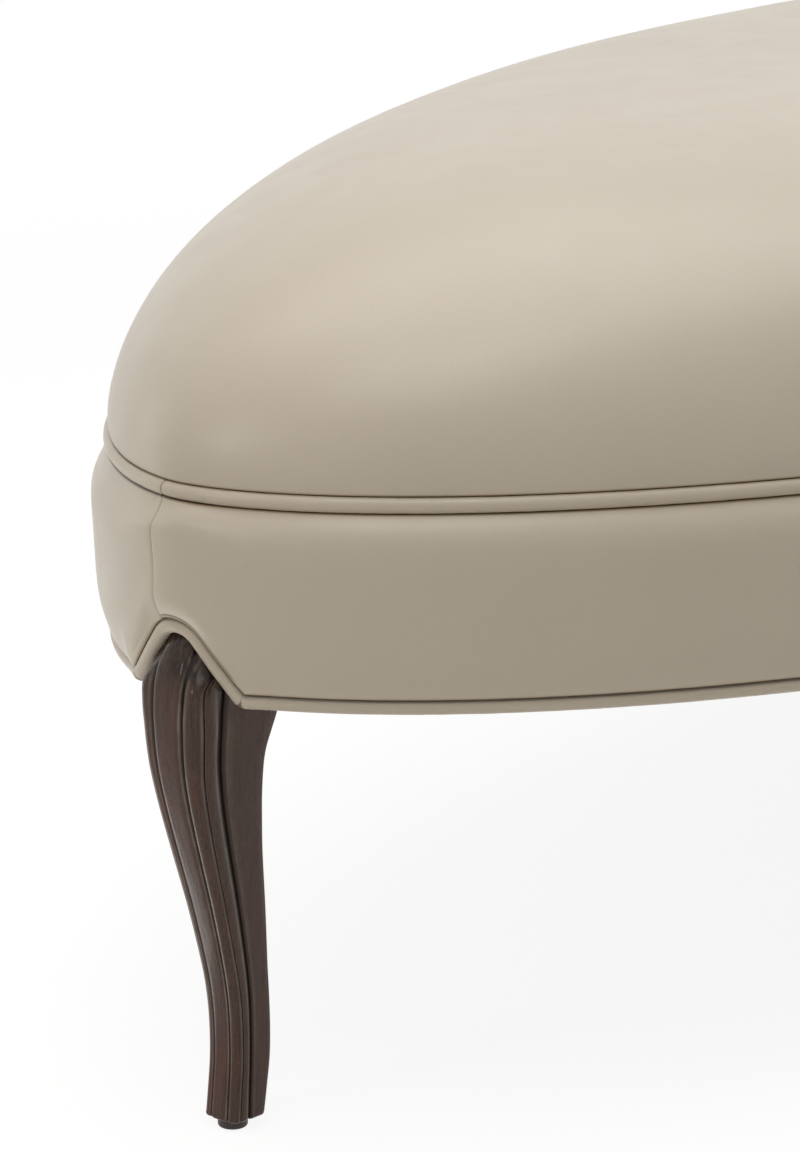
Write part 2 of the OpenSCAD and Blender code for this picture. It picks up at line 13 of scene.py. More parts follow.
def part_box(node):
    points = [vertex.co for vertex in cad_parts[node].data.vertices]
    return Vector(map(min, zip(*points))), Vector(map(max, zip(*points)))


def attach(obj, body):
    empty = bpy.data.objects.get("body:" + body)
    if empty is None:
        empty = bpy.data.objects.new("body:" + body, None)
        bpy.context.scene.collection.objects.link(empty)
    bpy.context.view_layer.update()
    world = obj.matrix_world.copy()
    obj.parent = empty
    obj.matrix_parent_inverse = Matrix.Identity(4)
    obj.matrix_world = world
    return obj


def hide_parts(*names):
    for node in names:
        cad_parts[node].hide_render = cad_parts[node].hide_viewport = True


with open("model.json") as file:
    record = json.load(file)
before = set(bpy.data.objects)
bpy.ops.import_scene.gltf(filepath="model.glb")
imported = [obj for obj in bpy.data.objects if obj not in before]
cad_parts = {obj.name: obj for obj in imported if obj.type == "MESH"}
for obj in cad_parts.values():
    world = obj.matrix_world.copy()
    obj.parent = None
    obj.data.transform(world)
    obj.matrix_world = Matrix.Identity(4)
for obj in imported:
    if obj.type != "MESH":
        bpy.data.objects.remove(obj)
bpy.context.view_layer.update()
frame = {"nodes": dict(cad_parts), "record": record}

bl_info = {
    "name": "Oval Bed Bench",
    "version": (1, 0, 0),
    "blender": (4, 5, 0),
    "location": "3D View > Sidebar > Bench",
    "description": "Builds an upholstered oval bench with piping and reeded cabriole legs",
    "category": "Object",
}

BODY = "root"
MM = 0.001
COVER_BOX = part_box("seat_cover")
WELT_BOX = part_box("lower_welt")


# ---------------------------------------------------------------- settings

def length(name, text, value, low=0.0, high=3.0):
    return FloatProperty(name=name, description=text, default=value, min=low, max=high,
                         unit="LENGTH", subtype="DISTANCE", precision=4)


def colour(name, text, value):
    return FloatVectorProperty(name=name, description=text, default=value, size=3,
                               min=0.0, max=1.0, subtype="COLOR")


def number(name, text, value, low=0.0, high=100.0):
    return FloatProperty(name=name, description=text, default=value, min=low, max=high)


def slant(name, text, degrees):
    return FloatProperty(name=name, description=text, default=math.radians(degrees),
                         subtype="ANGLE")


def integer(name, text, value, low, high):
    return IntProperty(name=name, description=text, default=value, min=low, max=high)


class BenchOval(bpy.types.PropertyGroup):
    half_l: length("Half length", "From the centre to an end of the oval", COVER_BOX[1][0])
    half_w: length("Half width", "From the centre to a long side of the oval", COVER_BOX[1][1])
    side_power: number("Side power", "Power of the outline along the sides", 2.0, 1.5, 3.0)
    end_power: number("End power", "Power of the outline at the ends", 1.7, 1.5, 3.0)
    arch_h: length("Arch height", "Rise of the lower welt over a leg", 33.8 * MM)
    arch_r: length("Arch radius", "Radius of the top of an arch", 17 * MM)
    arch_slope: slant("Arch slope", "Steepness of an arch's flanks", 49.8)
    knee: length("Knee bulge", "How far a knee pushes the edge above it outwards", 2.4 * MM)
    rail_line: length("Rail line", "Underside of the lower welt", WELT_BOX[0][2])


class BenchSeat(bpy.types.PropertyGroup):
    base: length("Seat seam", "Height of the seam above the upper welt", COVER_BOX[0][2] - 0.6 * MM)
    top: length("Seat height", "Height of the middle of the seat", COVER_BOX[1][2])
    shoulder: number("Shoulder power", "Power of the crown's plan", 5.88, 2.0, 10.0)
    crown: number("Crown power", "Power of the crown's rise", 1.92, 1.0, 4.0)
    thickness: length("Cover thickness", "Thickness of the cover", 2 * MM)
    around: integer("Points around", "Points round the seat's edge", 960, 96, 1920)


class BenchBand(bpy.types.PropertyGroup):
    swell: length("Swell", "How far the band swells past the oval", 8 * MM)
    top: length("Top", "Height of the band's upper seam", 339.7 * MM)
    seam_turn: slant("Seam turn", "Turn of the end seams off the ends", 2.4)
    pucker: length("Pucker", "Height of the puckers beside a seam", 0.22 * MM)


class BenchWelts(bpy.types.PropertyGroup):
    upper_d: length("Upper diameter", "Diameter of the upper welt", 8 * MM)
    upper_inset: length("Upper inset", "Its middle line inside the oval", 2.3 * MM)
    lower_d: length("Lower diameter", "Diameter of the lower welt", 8 * MM)
    lower_inset: length("Lower inset", "Its middle line inside the oval", 4 * MM)
    sides: integer("Sides", "Points round a welt", 28, 8, 64)


class BenchLegs(bpy.types.PropertyGroup):
    depth: length("Depth", "Depth of a leg at the knee", 54 * MM)
    width: length("Width", "Width of a leg at the knee", 44 * MM)
    reed: length("Reed depth", "Depth of the grooves between the reeds", 2.2 * MM)
    front_power: number("Front power", "Power of the rounded front", 4.24, 2.0, 8.0)
    post: length("Post depth", "Depth of the post above the knee", 42 * MM)
    post_inset: length("Post inset", "Face of the post inside the oval", 16 * MM)
    post_top: length("Post top", "Height of the top of the post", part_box("leg_left")[1][2])
    foot: length("Foot height", "Height of the bottom of the wood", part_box("leg_left")[0][2])
    glide_d: length("Glide diameter", "Diameter of a glide", 15.6 * MM)


class BenchColours(bpy.types.PropertyGroup):
    cover: colour("Cover", "Cream taupe cover", (0.62, 0.546, 0.44))
    welt: colour("Welt", "Cover on the piping", (0.6, 0.524, 0.417))
    seam: colour("Seam", "Shadowed stitching line", (0.036, 0.017, 0.005))
    wood: colour("Wood", "Dark brown stain", (0.086, 0.0445, 0.032))
    # Glaze in the grooves, and painted shade: it also darkens the grooves and the top of each knee
    # under the welt.
    glaze: colour("Glaze", "Darker glaze left in the grooves", (0.012, 0.006, 0.004))
    # Stain rubbed thin on the ridges, and a painted highlight, strongest at one side of each leg's
    # middle reed.
    rubbed: colour("Rubbed", "Stain rubbed thin on the ridges", (0.36, 0.295, 0.23))
    frame_wood: colour("Frame wood", "Plain pale hardwood", (0.6, 0.43, 0.25))
    glide: colour("Glide", "Moulded plastic", (0.03, 0.02, 0.015))


class BenchStage(bpy.types.PropertyGroup):
    yaw: slant("Yaw", "Turn of the camera round the bench", 47.43)
    pitch: slant("Pitch", "How far the camera looks down", 15.09)
    distance: length("Distance", "From the camera to what it looks at", 2.3768, 0.1, 20.0)
    lens: number("Lens", "Focal length in millimetres", 138.617, 10.0, 300.0)
    floor: length("Floor size", "Side of the floor", 14.0, 1.0, 40.0)


GROUPS = {"bench_" + group.__name__[5:].lower(): group for group in (
    BenchOval, BenchSeat, BenchBand, BenchWelts, BenchLegs, BenchColours, BenchStage)}


def settings(name):
    return getattr(bpy.context.scene, "bench_" + name)


# ---------------------------------------------------------------- the oval

# Steps in which lengths along the outline are measured: all the way round, from
# one leg to the next, and when they are only counted
ROUND_STEPS, QUARTER_STEPS, COUNT_STEPS = 7200, 800, 200
# Where the bulge over a knee starts to fade and where it ends, in half arches
BULGE_FADE = (0.92, 1.44)


def sign_power(value, power):
    return math.copysign(abs(value) ** power, value)


class Outline:
    """The oval that the seat, the band, the welts and the legs are set out on."""

    def __init__(self):
        s = settings("oval")
        self.a, self.b = s.half_l, s.half_w
        self.p, self.q = s.side_power, s.end_power
        self.arch_h, self.arch_r, self.slope, self.knee = s.arch_h, s.arch_r, s.arch_slope, s.knee
        self.arch_top, self.arch_half = self.arch_r * math.sin(self.slope), self.corner(0.0)

    def point(self, t):
        return Vector((self.a * sign_power(math.cos(t), 2 / self.p),
                       self.b * sign_power(math.sin(t), 2 / self.q), 0))

    def normal(self, t):
        x = sign_power(math.cos(t), 2 - 2 / self.p) * self.p / self.a
        y = sign_power(math.sin(t), 2 - 2 / self.q) * self.q / self.b
        return Vector((x, y, 0)).normalized()

    def edge(self, t, out):
        return self.point(t) + self.normal(t) * out

    def end_angle(self, d):
        return math.asin(min(1, (d / self.b) ** (self.q / 2)))

    def side_angle(self, d):
        return math.pi / 2 - math.asin(min(1, (d / self.a) ** (self.p / 2)))

    def leg_distance(self, t):
        p = self.point(t)
        return min(abs(p.x), abs(p.y))

    def gap(self, t, others):
        """Straight distance from the point at t to the nearest of the others."""
        return min((self.point(t) - self.point(other)).length for other in others)

    def step(self, t, size, probe):
        """The turn from t, in the sense of the small turn probe, that is size long."""
        return size / (self.point(t + probe) - self.point(t)).length * probe

    def arch(self, d, off):
        """Height of the arch over a leg, off from its middle line."""
        r = self.arch_r + off
        top = r * math.sin(self.slope)
        if d < top:
            return self.arch_h - self.arch_r + math.sqrt(r * r - d * d)
        flank = self.arch_h - self.arch_r + r * math.cos(self.slope)
        return max(off, flank - (d - top) * math.tan(self.slope))

    def corner(self, off):
        """Distance from the leg's middle at which the arch at off meets the level run."""
        r = self.arch_r + off
        flank = self.arch_h - self.arch_r + r * math.cos(self.slope)
        return r * math.sin(self.slope) + (flank - off) / math.tan(self.slope)

    def bulge(self, t):
        """How far the welt and the band's edge are pushed outwards over a leg's knee."""
        low, high = (self.arch_half * share for share in BULGE_FADE)
        return self.knee * (1 - smoothstep(low, high, self.leg_distance(t)))

    def lengths(self, start, end, steps):
        """Length along the outline from start to each of the steps up to end."""
        sums, last = [0.0], self.point(start)
        for i in range(1, steps + 1):
            here = self.point(start + (end - start) * i / steps)
            sums.append(sums[-1] + (here - last).length)
            last = here
        return sums

    def spaced(self, start, end, count, steps):
        """count angles at equal steps along the outline, from start towards end."""
        sums, angles, k = self.lengths(start, end, steps), [], 0
        for i in range(count):
            goal = sums[-1] * i / count
            while sums[k + 1] < goal:
                k += 1
            part = (goal - sums[k]) / (sums[k + 1] - sums[k])
            angles.append(start + (end - start) * (k + part) / steps)
        return angles

    def even(self, count):
        """count angles at equal steps all round, from the +X end."""
        return self.spaced(0, 2 * math.pi, count, ROUND_STEPS)

    def stations(self, distances, gap):
        """Angles for one quarter: at the given distances from each leg's middle,
        and at most gap apart between them."""
        near_end = [self.end_angle(d) for d in distances]
        near_side = [self.side_angle(d) for d in reversed(distances)]
        a, b = near_end[-1], near_side[0]
        count = max(1, round(self.lengths(a, b, COUNT_STEPS)[-1] / gap))
        return near_end + self.spaced(a, b, count, QUARTER_STEPS)[1:] + near_side

    def whole(self, distances, gap):
        """Angles all round, with the stations of one quarter in each."""
        q = self.stations(distances, gap)
        half = q + [math.pi - t for t in reversed(q[:-1])]
        return half[:-1] + [t + math.pi for t in half[:-1]]


def smoothstep(low, high, value):
    u = min(1.0, max(0.0, (value - low) / (high - low)))
    return u * u * (3 - 2 * u)


def interpolate(table, x, column=1):
    """A smooth curve through a table whose rows start with x."""
    last = len(table) - 1
    if x <= table[0][0]:
        return table[0][column]
    if x >= table[last][0]:
        return table[last][column]
    i = 0
    while i < last - 1 and x >= table[i + 1][0]:
        i += 1

    def slope(k):
        lo, hi = max(k - 1, 0), min(k + 1, last)
        return (table[hi][column] - table[lo][column]) / (table[hi][0] - table[lo][0])
    a, b = table[i], table[i + 1]
    w = b[0] - a[0]
    u = (x - a[0]) / w
    return (a[column] * (1 + 2 * u) * (1 - u) ** 2 + b[column] * u * u * (3 - 2 * u)
            + w * u * (1 - u) * ((1 - u) * slope(i) - u * slope(i + 1)))


# ---------------------------------------------------------------- meshes

def add_object(name, data):
    made = bpy.data.objects.new(name, data)
    bpy.context.scene.collection.objects.link(made)
    return made


class Skin:
    """Collects points with their attributes, and faces, for one mesh."""

    def __init__(self, *attributes):
        self.points, self.faces = [], []
        self.values = {name: [] for name in attributes}

    def add(self, point, **values):
        self.points.append(Vector(point))
        for name, column in self.values.items():
            column.append(values.get(name, 0.0))
        return len(self.points) - 1

    def join(self, low, high):
        """Faces between two closed rows of points that run the same way. The second
        may hold half as many, or twice as many, as the first."""
        n, m = len(low), len(high)
        if n == m:
            for i in range(n):
                k = (i + 1) % n
                self.faces.append((low[i], low[k], high[k], high[i]))
        elif n == 2 * m:
            for i in range(m):
                a, b, c = low[2 * i], low[2 * i + 1], low[(2 * i + 2) % n]
                d, e = high[i], high[(i + 1) % m]
                self.faces += [(a, b, d), (b, c, e), (b, e, d)]
        elif m == 2 * n:
            for i in range(n):
                a, b, c = high[2 * i], high[2 * i + 1], high[(2 * i + 2) % m]
                d, e = low[i], low[(i + 1) % n]
                self.faces += [(a, d, b), (b, e, c), (b, d, e)]
        else:
            raise RuntimeError("rows of %d and %d points can't be joined" % (n, m))

    def stack(self, rows):
        for low, high in zip(rows, rows[1:]):
            self.join(low, high)

    def fan(self, ring, tip, flip=False):
        n = len(ring)
        for i in range(n):
            face = (ring[i], ring[(i + 1) % n], tip)
            self.faces.append(face[::-1] if flip else face)

    def build(self, name, smooth_angle=None):
        mesh = bpy.data.meshes.new(name)
        mesh.from_pydata(self.points, [], self.faces)
        for key, column in self.values.items():
            layer = mesh.attributes.new(key, "FLOAT", "POINT")
            layer.data.foreach_set("value", column)
        obj = add_object(name, mesh)
        outward(obj)
        smooth(obj, smooth_angle)
        return obj


def outward(obj):
    work = bmesh.new()
    work.from_mesh(obj.data)
    bmesh.ops.remove_doubles(work, verts=work.verts, dist=1e-7)
    bmesh.ops.recalc_face_normals(work, faces=work.faces)
    work.to_mesh(obj.data)
    work.free()


def smooth(obj, angle=None):
    mesh = obj.data
    mesh.polygons.foreach_set("use_smooth", [True] * len(mesh.polygons))
    if angle is not None:
        mesh.set_sharp_from_angle(angle=angle)
    mesh.update()


def paint(obj, material):
    obj.data.materials.clear()
    obj.data.materials.append(material)


def finish_piece(obj, material, node):
    """Paints the piece, unless its node tree has, puts it on the body and hides the part it stands
    for.
    """
    if material is not None:
        paint(obj, material)
    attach(obj, BODY)
    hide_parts(node)


def ripple(where, size, seed):
    """Smooth noise from -1 to 1 with features of about size, in metres."""
    return noise.noise(Vector(where) / size + Vector((seed, seed * 2.7, -seed)))


# ---------------------------------------------------------------- materials

class Graph:
    """Adds nodes to a tree. An input is a value to set or a socket to link."""

    def __init__(self, tree):
        self.tree = tree

    def node(self, kind, inputs=None, **values):
        made = self.tree.nodes.new(kind)
        for key, value in values.items():
            setattr(made, key, value)
        for key, value in (inputs or {}).items():
            self.put(made.inputs[key], value)
        return made

    def put(self, socket, value):
        if isinstance(value, bpy.types.NodeSocket):
            self.tree.links.new(value, socket)
        elif socket.type == "RGBA":
            socket.default_value = (*value[:3], 1.0)
        else:
            socket.default_value = value

    def maths(self, operation, a, b=0.0):
        return self.node("ShaderNodeMath", {0: a, 1: b}, operation=operation).outputs[0]


class Nodes(Graph):
    """The node tree of a new material."""

    def __init__(self, name):
        self.material = bpy.data.materials.new(name)
        self.material.use_nodes = True
        super().__init__(self.material.node_tree)
        self.tree.nodes.clear()
        self.shader = self.node("ShaderNodeBsdfPrincipled")
        self.node("ShaderNodeOutputMaterial", {"Surface": self.shader.outputs[0]})
        self.coordinates = self.node("ShaderNodeTexCoord").outputs["Object"]

    def surface(self, **values):
        """Sets or links inputs of the shader, such as base_color."""
        for key, value in values.items():
            name = key.replace("_", " ").title().replace("Ior", "IOR")
            self.put(self.shader.inputs[name], value)
        return self.material

    def place(self, *scale):
        inputs = {"Vector": self.coordinates, "Scale": scale}
        return self.node("ShaderNodeMapping", inputs).outputs["Vector"]

    def noise(self, scale, detail=3.0, rough=0.5, vector=None, distortion=0.0):
        inputs = {"Vector": vector or self.coordinates, "Scale": scale, "Detail": detail,
                  "Roughness": rough, "Distortion": distortion}
        return self.node("ShaderNodeTexNoise", inputs).outputs["Fac"]

    def cells(self, scale, feature="F1", randomness=1.0):
        inputs = {"Vector": self.coordinates, "Scale": scale, "Randomness": randomness}
        return self.node("ShaderNodeTexVoronoi", inputs, feature=feature).outputs["Distance"]

    def bands(self, axis, scale, **inputs):
        inputs.update({"Vector": self.coordinates, "Scale": scale})
        return self.node("ShaderNodeTexWave", inputs, wave_type="BANDS", bands_direction=axis,
                         wave_profile="SIN").outputs["Fac"]

    def attribute(self, name):
        return self.node("ShaderNodeAttribute", attribute_name=name).outputs["Fac"]

    def spread(self, value, low, high, to_low=0.0, to_high=1.0):
        inputs = {"Value": value, "From Min": low, "From Max": high, "To Min": to_low,
                  "To Max": to_high}
        return self.node("ShaderNodeMapRange", inputs,
                         interpolation_type="SMOOTHSTEP").outputs["Result"]

    def mix(self, factor, a, b, blend="MIX"):
        return self.node("ShaderNodeMix", {0: factor, 6: a, 7: b}, data_type="RGBA",
                         blend_type=blend).outputs[2]

    def tint(self, tone, rgb):
        return self.mix(1.0, tone, rgb, "MULTIPLY")

    def bump(self, height, distance, strength, normal=None):
        inputs = {"Height": height, "Distance": distance, "Strength": strength}
        if normal is not None:
            inputs["Normal"] = normal
        return self.node("ShaderNodeBump", inputs).outputs["Normal"]


def shade(rgb, factor):
    return tuple(min(1.0, c * factor) for c in rgb)


def cover_material(name, rgb):
    """Smooth satin cover with a faint pebble, and painted shade where it dives into a seam."""
    n = Nodes(name)
    cloudy = n.spread(n.noise(5.0, 4.0, 0.55), 0.3, 0.7)
    tone = n.mix(cloudy, shade(rgb, 0.975), shade(rgb, 1.02))
    fleck = n.spread(n.noise(420.0, 3.0, 0.6), 0.25, 0.75)
    tone = n.mix(fleck, n.tint(tone, (0.985, 0.983, 0.98)), tone)
    speck = n.spread(n.cells(17.0), 0.012, 0.03, 0.45, 0.0)
    tone = n.mix(speck, tone, shade(rgb, 0.55))
    # Painted shade along seams, tucks and joints: the cover is tinted browner, then darkened to the
    # seam colour, where shade falls.
    seam = n.attribute("seam")
    tone = n.mix(n.spread(seam, 0.0, 0.55), tone, n.tint(tone, (0.72, 0.62, 0.5)))
    tone = n.mix(n.spread(seam, 0.45, 0.95), tone, tuple(settings("colours").seam))
    pebble = n.spread(n.cells(620.0, "SMOOTH_F1"), 0.0, 0.7)
    normal = n.bump(pebble, 0.00006, 0.35)
    normal = n.bump(n.noise(1500.0, 2.0, 0.6), 0.00002, 0.4, normal)
    normal = n.bump(n.noise(70.0, 2.0, 0.5), 0.0002, 0.2, normal)
    rough = n.spread(n.noise(30.0, 3.0, 0.6), 0.3, 0.7, 0.33, 0.41)
    return n.surface(base_color=tone, roughness=rough, normal=normal, ior=1.45,
                     sheen_weight=0.12, sheen_roughness=0.4, specular_ior_level=0.55)


def leg_material():
    """Dark stained hardwood under a satin lacquer: glaze with painted shade in the grooves,
    painted shade at the top of each knee under the welt, stain rubbed thin on the ridges
    with a painted highlight on them, and a fine grain that runs down the leg."""
    c = settings("colours")
    wood, glaze = tuple(c.wood), tuple(c.glaze)
    n = Nodes("dark_wood_lacquer")
    grain = n.noise(260.0, 5.0, 0.6, n.place(1.0, 1.0, 0.1), 0.6)
    tone = n.mix(n.spread(grain, 0.25, 0.75), shade(wood, 0.78), shade(wood, 1.2))
    patches = n.noise(34.0, 4.0, 0.6, n.place(1.0, 1.0, 0.35), 0.8)
    for high, rgb in ((0.68, (1.2, 0.84, 0.78)), (0.34, (0.84, 0.95, 0.88))):
        tone = n.mix(n.spread(patches, 0.5, high), tone, n.tint(tone, rgb))
    dust = n.spread(n.noise(1300.0, 3.0, 0.65), 0.52, 0.72)
    tone = n.mix(n.maths("MULTIPLY", dust, 0.45), tone, shade(wood, 2.3))
    pores = n.spread(n.noise(900.0, 2.0, 0.5, n.place(1.0, 1.0, 0.05)), 0.6, 0.7)
    tone = n.mix(n.maths("MULTIPLY", pores, 0.55), tone, shade(wood, 0.4))
    # Wear and a painted highlight: the ridges are lightened towards the rubbed colour, in patches.
    wear_and_highlight = n.spread(n.noise(60.0), 0.3, 0.7, 0.4, 0.9)
    tone = n.mix(n.maths("MULTIPLY", n.attribute("ridge"), wear_and_highlight), tone, tuple(c.rubbed))
    # Painted shade: the top of each knee, under the welt, is darkened towards the glaze colour in
    # streaks; the same noise also bumps the surface.
    tooled = n.noise(240.0, 3.0, 0.6, n.place(1.0, 1.0, 0.16), 0.6)
    cuts = n.spread(tooled, 0.62, 0.4, 0.35, 0.95)
    tone = n.mix(n.maths("MULTIPLY", n.attribute("knee"), cuts), tone, glaze)
    # Glaze and painted shade: the grooves are darkened towards the glaze colour.
    tone = n.mix(n.attribute("groove"), tone, glaze)
    waves = n.noise(48.0, 3.0, 0.55, n.place(1.0, 1.0, 0.3), 0.5)
    normal = n.bump(waves, 0.0012, 0.35)
    normal = n.bump(tooled, 0.0004, 0.45, normal)
    normal = n.bump(grain, 0.00012, 0.3, normal)
    normal = n.bump(n.noise(1300.0, 2.0, 0.6), 0.00005, 0.5, normal)
    return n.surface(base_color=tone, roughness=n.spread(grain, 0.2, 0.8, 0.22, 0.34),
                     normal=normal, ior=1.5, coat_weight=0.25, coat_roughness=0.1,
                     specular_ior_level=0.12)


def plain_wood_material():
    n = Nodes("frame_hardwood")
    rgb = tuple(settings("colours").frame_wood)
    along = n.place(0.12, 0.12, 1.0)
    rings = n.noise(90.0, 4.0, 0.55, along, 0.8)
    tone = n.mix(n.spread(rings, 0.3, 0.7), shade(rgb, 0.82), shade(rgb, 1.08))
    pores = n.spread(n.noise(700.0, 2.0, 0.5, along), 0.62, 0.72)
    return n.surface(base_color=n.mix(pores, tone, shade(rgb, 0.6)),
                     roughness=n.spread(rings, 0.2, 0.8, 0.55, 0.7),
                     normal=n.bump(rings, 0.0002, 0.3))


def woven_material(name, rgb, threads, depth, rough=0.85, stripe=None):
    """A plain weave, threads per metre each way, over and under, and perhaps with
    paler stripes along it."""
    n = Nodes(name)
    across, along = (n.bands(axis, threads / 20.0, Distortion=0.6, Detail=1.0) for axis in "XY")
    checks = {"Vector": n.coordinates, "Scale": threads / math.pi, "Color1": (1, 1, 1),
              "Color2": (0, 0, 0)}
    over = n.mix(n.node("ShaderNodeTexChecker", checks).outputs["Fac"], (0, 0, 0), (1, 1, 1))
    under = n.maths("SUBTRACT", 1.0, over)
    height = n.maths("MAXIMUM", n.maths("MULTIPLY", across, over),
                     n.maths("MULTIPLY", along, under))
    slub = n.spread(n.noise(threads * 0.4, 3.0, 0.6), 0.3, 0.7)
    # Painted shade: the weave is darker where its threads lie low, between them.
    tone = n.mix(height, shade(rgb, 0.55), shade(rgb, 1.1))
    tone = n.mix(slub, n.tint(tone, (0.88, 0.88, 0.88)), tone)
    if stripe:
        tone = n.mix(n.spread(n.bands("X", stripe), 0.85, 0.95), tone, shade(rgb, 3.0))
    return n.surface(base_color=tone, roughness=rough, sheen_weight=0.2,
                     normal=n.bump(height, depth, 0.6))


def fleece_material(name, rgb, scale, depth):
    n = Nodes(name)
    tuft = n.noise(scale, 6.0, 0.7)
    return n.surface(
        base_color=n.mix(n.spread(tuft, 0.3, 0.7), shade(rgb, 0.82), shade(rgb, 1.04)),
        roughness=0.95, sheen_weight=0.3, normal=n.bump(tuft, depth, 0.8))


def foam_material():
    n = Nodes("seat_foam_cells")
    cell = n.cells(900.0)
    return n.surface(
        base_color=n.mix(n.spread(cell, 0.1, 0.6), (0.62, 0.55, 0.33), (0.88, 0.8, 0.52)),
        roughness=0.95, normal=n.bump(cell, 0.0004, -0.6))


def steel_material():
    n = Nodes("zinc_plated_steel")
    spangle = n.noise(500.0, 3.0, 0.6)
    return n.surface(base_color=n.mix(spangle, (0.5, 0.5, 0.53), (0.68, 0.68, 0.7)),
                     roughness=n.spread(spangle, 0.2, 0.8, 0.25, 0.42), metallic=1.0,
                     normal=n.bump(n.noise(1800.0, 2.0), 0.00003, 0.3))


def glide_material():
    rgb = tuple(settings("colours").glide)
    n = Nodes("glide_plastic")
    scuff = n.noise(700.0, 4.0, 0.65)
    return n.surface(base_color=n.mix(n.spread(scuff, 0.55, 0.75), rgb, shade(rgb, 2.0)),
                     roughness=n.spread(scuff, 0.3, 0.7, 0.36, 0.6),
                     normal=n.bump(n.noise(2400.0, 2.0), 0.00003, 0.4))


def dust_material():
    """Thin black bonded cloth: pressed fibres and the dots of its bonding."""
    n = Nodes("black_bonded_cloth")
    fibres = n.noise(1100.0, 4.0, 0.7, distortion=1.5)
    dots = n.spread(n.cells(420.0, randomness=0.1), 0.1, 0.35)
    tone = n.mix(n.spread(fibres, 0.3, 0.7), (0.012, 0.012, 0.013), (0.04, 0.04, 0.042))
    tone = n.mix(dots, n.tint(tone, (0.5, 0.5, 0.5)), tone)
    normal = n.bump(fibres, 0.0001, 0.5, n.bump(dots, 0.00015, 0.6))
    return n.surface(base_color=tone, roughness=0.8, sheen_weight=0.25, normal=normal)


# ---------------------------------------------------------------- geometry nodes

# How much thicker and thinner the cover makes a welt, in metres
WELT_CRINKLE = 0.35 * MM


class Tree(Graph):
    """A geometry node group with named inputs."""

    def __init__(self, name):
        super().__init__(bpy.data.node_groups.new(name, "GeometryNodeTree"))
        self.sockets = {}
        for way in ("INPUT", "OUTPUT"):
            self.tree.interface.new_socket("Geometry", in_out=way,
                                           socket_type="NodeSocketGeometry")
        self.input = self.node("NodeGroupInput")
        self.output = self.node("NodeGroupOutput")

    def value(self, name, kind):
        made = self.tree.interface.new_socket(name, in_out="INPUT",
                                              socket_type="NodeSocket" + kind)
        self.sockets[name] = made.identifier
        return self.input.outputs[name]

    def change(self, kind, geometry_socket, **inputs):
        """A node that changes the geometry. Its output is returned."""
        named = {key.replace("_", " "): value for key, value in inputs.items()}
        return self.node(kind, {"Geometry": geometry_socket, **named}).outputs[0]

    def scaled(self, vector, scale):
        return self.node("ShaderNodeVectorMath", {0: vector, "Scale": scale},
                         operation="SCALE").outputs[0]

    def added(self, a, b):
        return self.node("ShaderNodeVectorMath", {0: a, 1: b}, operation="ADD").outputs[0]

    def named(self, name, kind="FLOAT"):
        return self.node("GeometryNodeInputNamedAttribute", {"Name": name},
                         data_type=kind).outputs["Attribute"]

    def finish(self, geometry_socket, material):
        real = self.change("GeometryNodeRealizeInstances", geometry_socket)
        painted = self.change("GeometryNodeSetMaterial", real, Material=material)
        self.put(self.output.inputs[0], painted)

    def bake(self, obj, name, **values):
        """Runs the tree on obj, which goes, and returns the result as a plain mesh."""
        modifier = obj.modifiers.new(name, "NODES")
        modifier.node_group = self.tree
        for key, value in values.items():
            modifier[self.sockets[key]] = value
        graph = bpy.context.evaluated_depsgraph_get()
        mesh = bpy.data.meshes.new_from_object(obj.evaluated_get(graph))
        made = add_object(name, mesh)
        bpy.data.objects.remove(obj)
        mesh.name = name
        return made


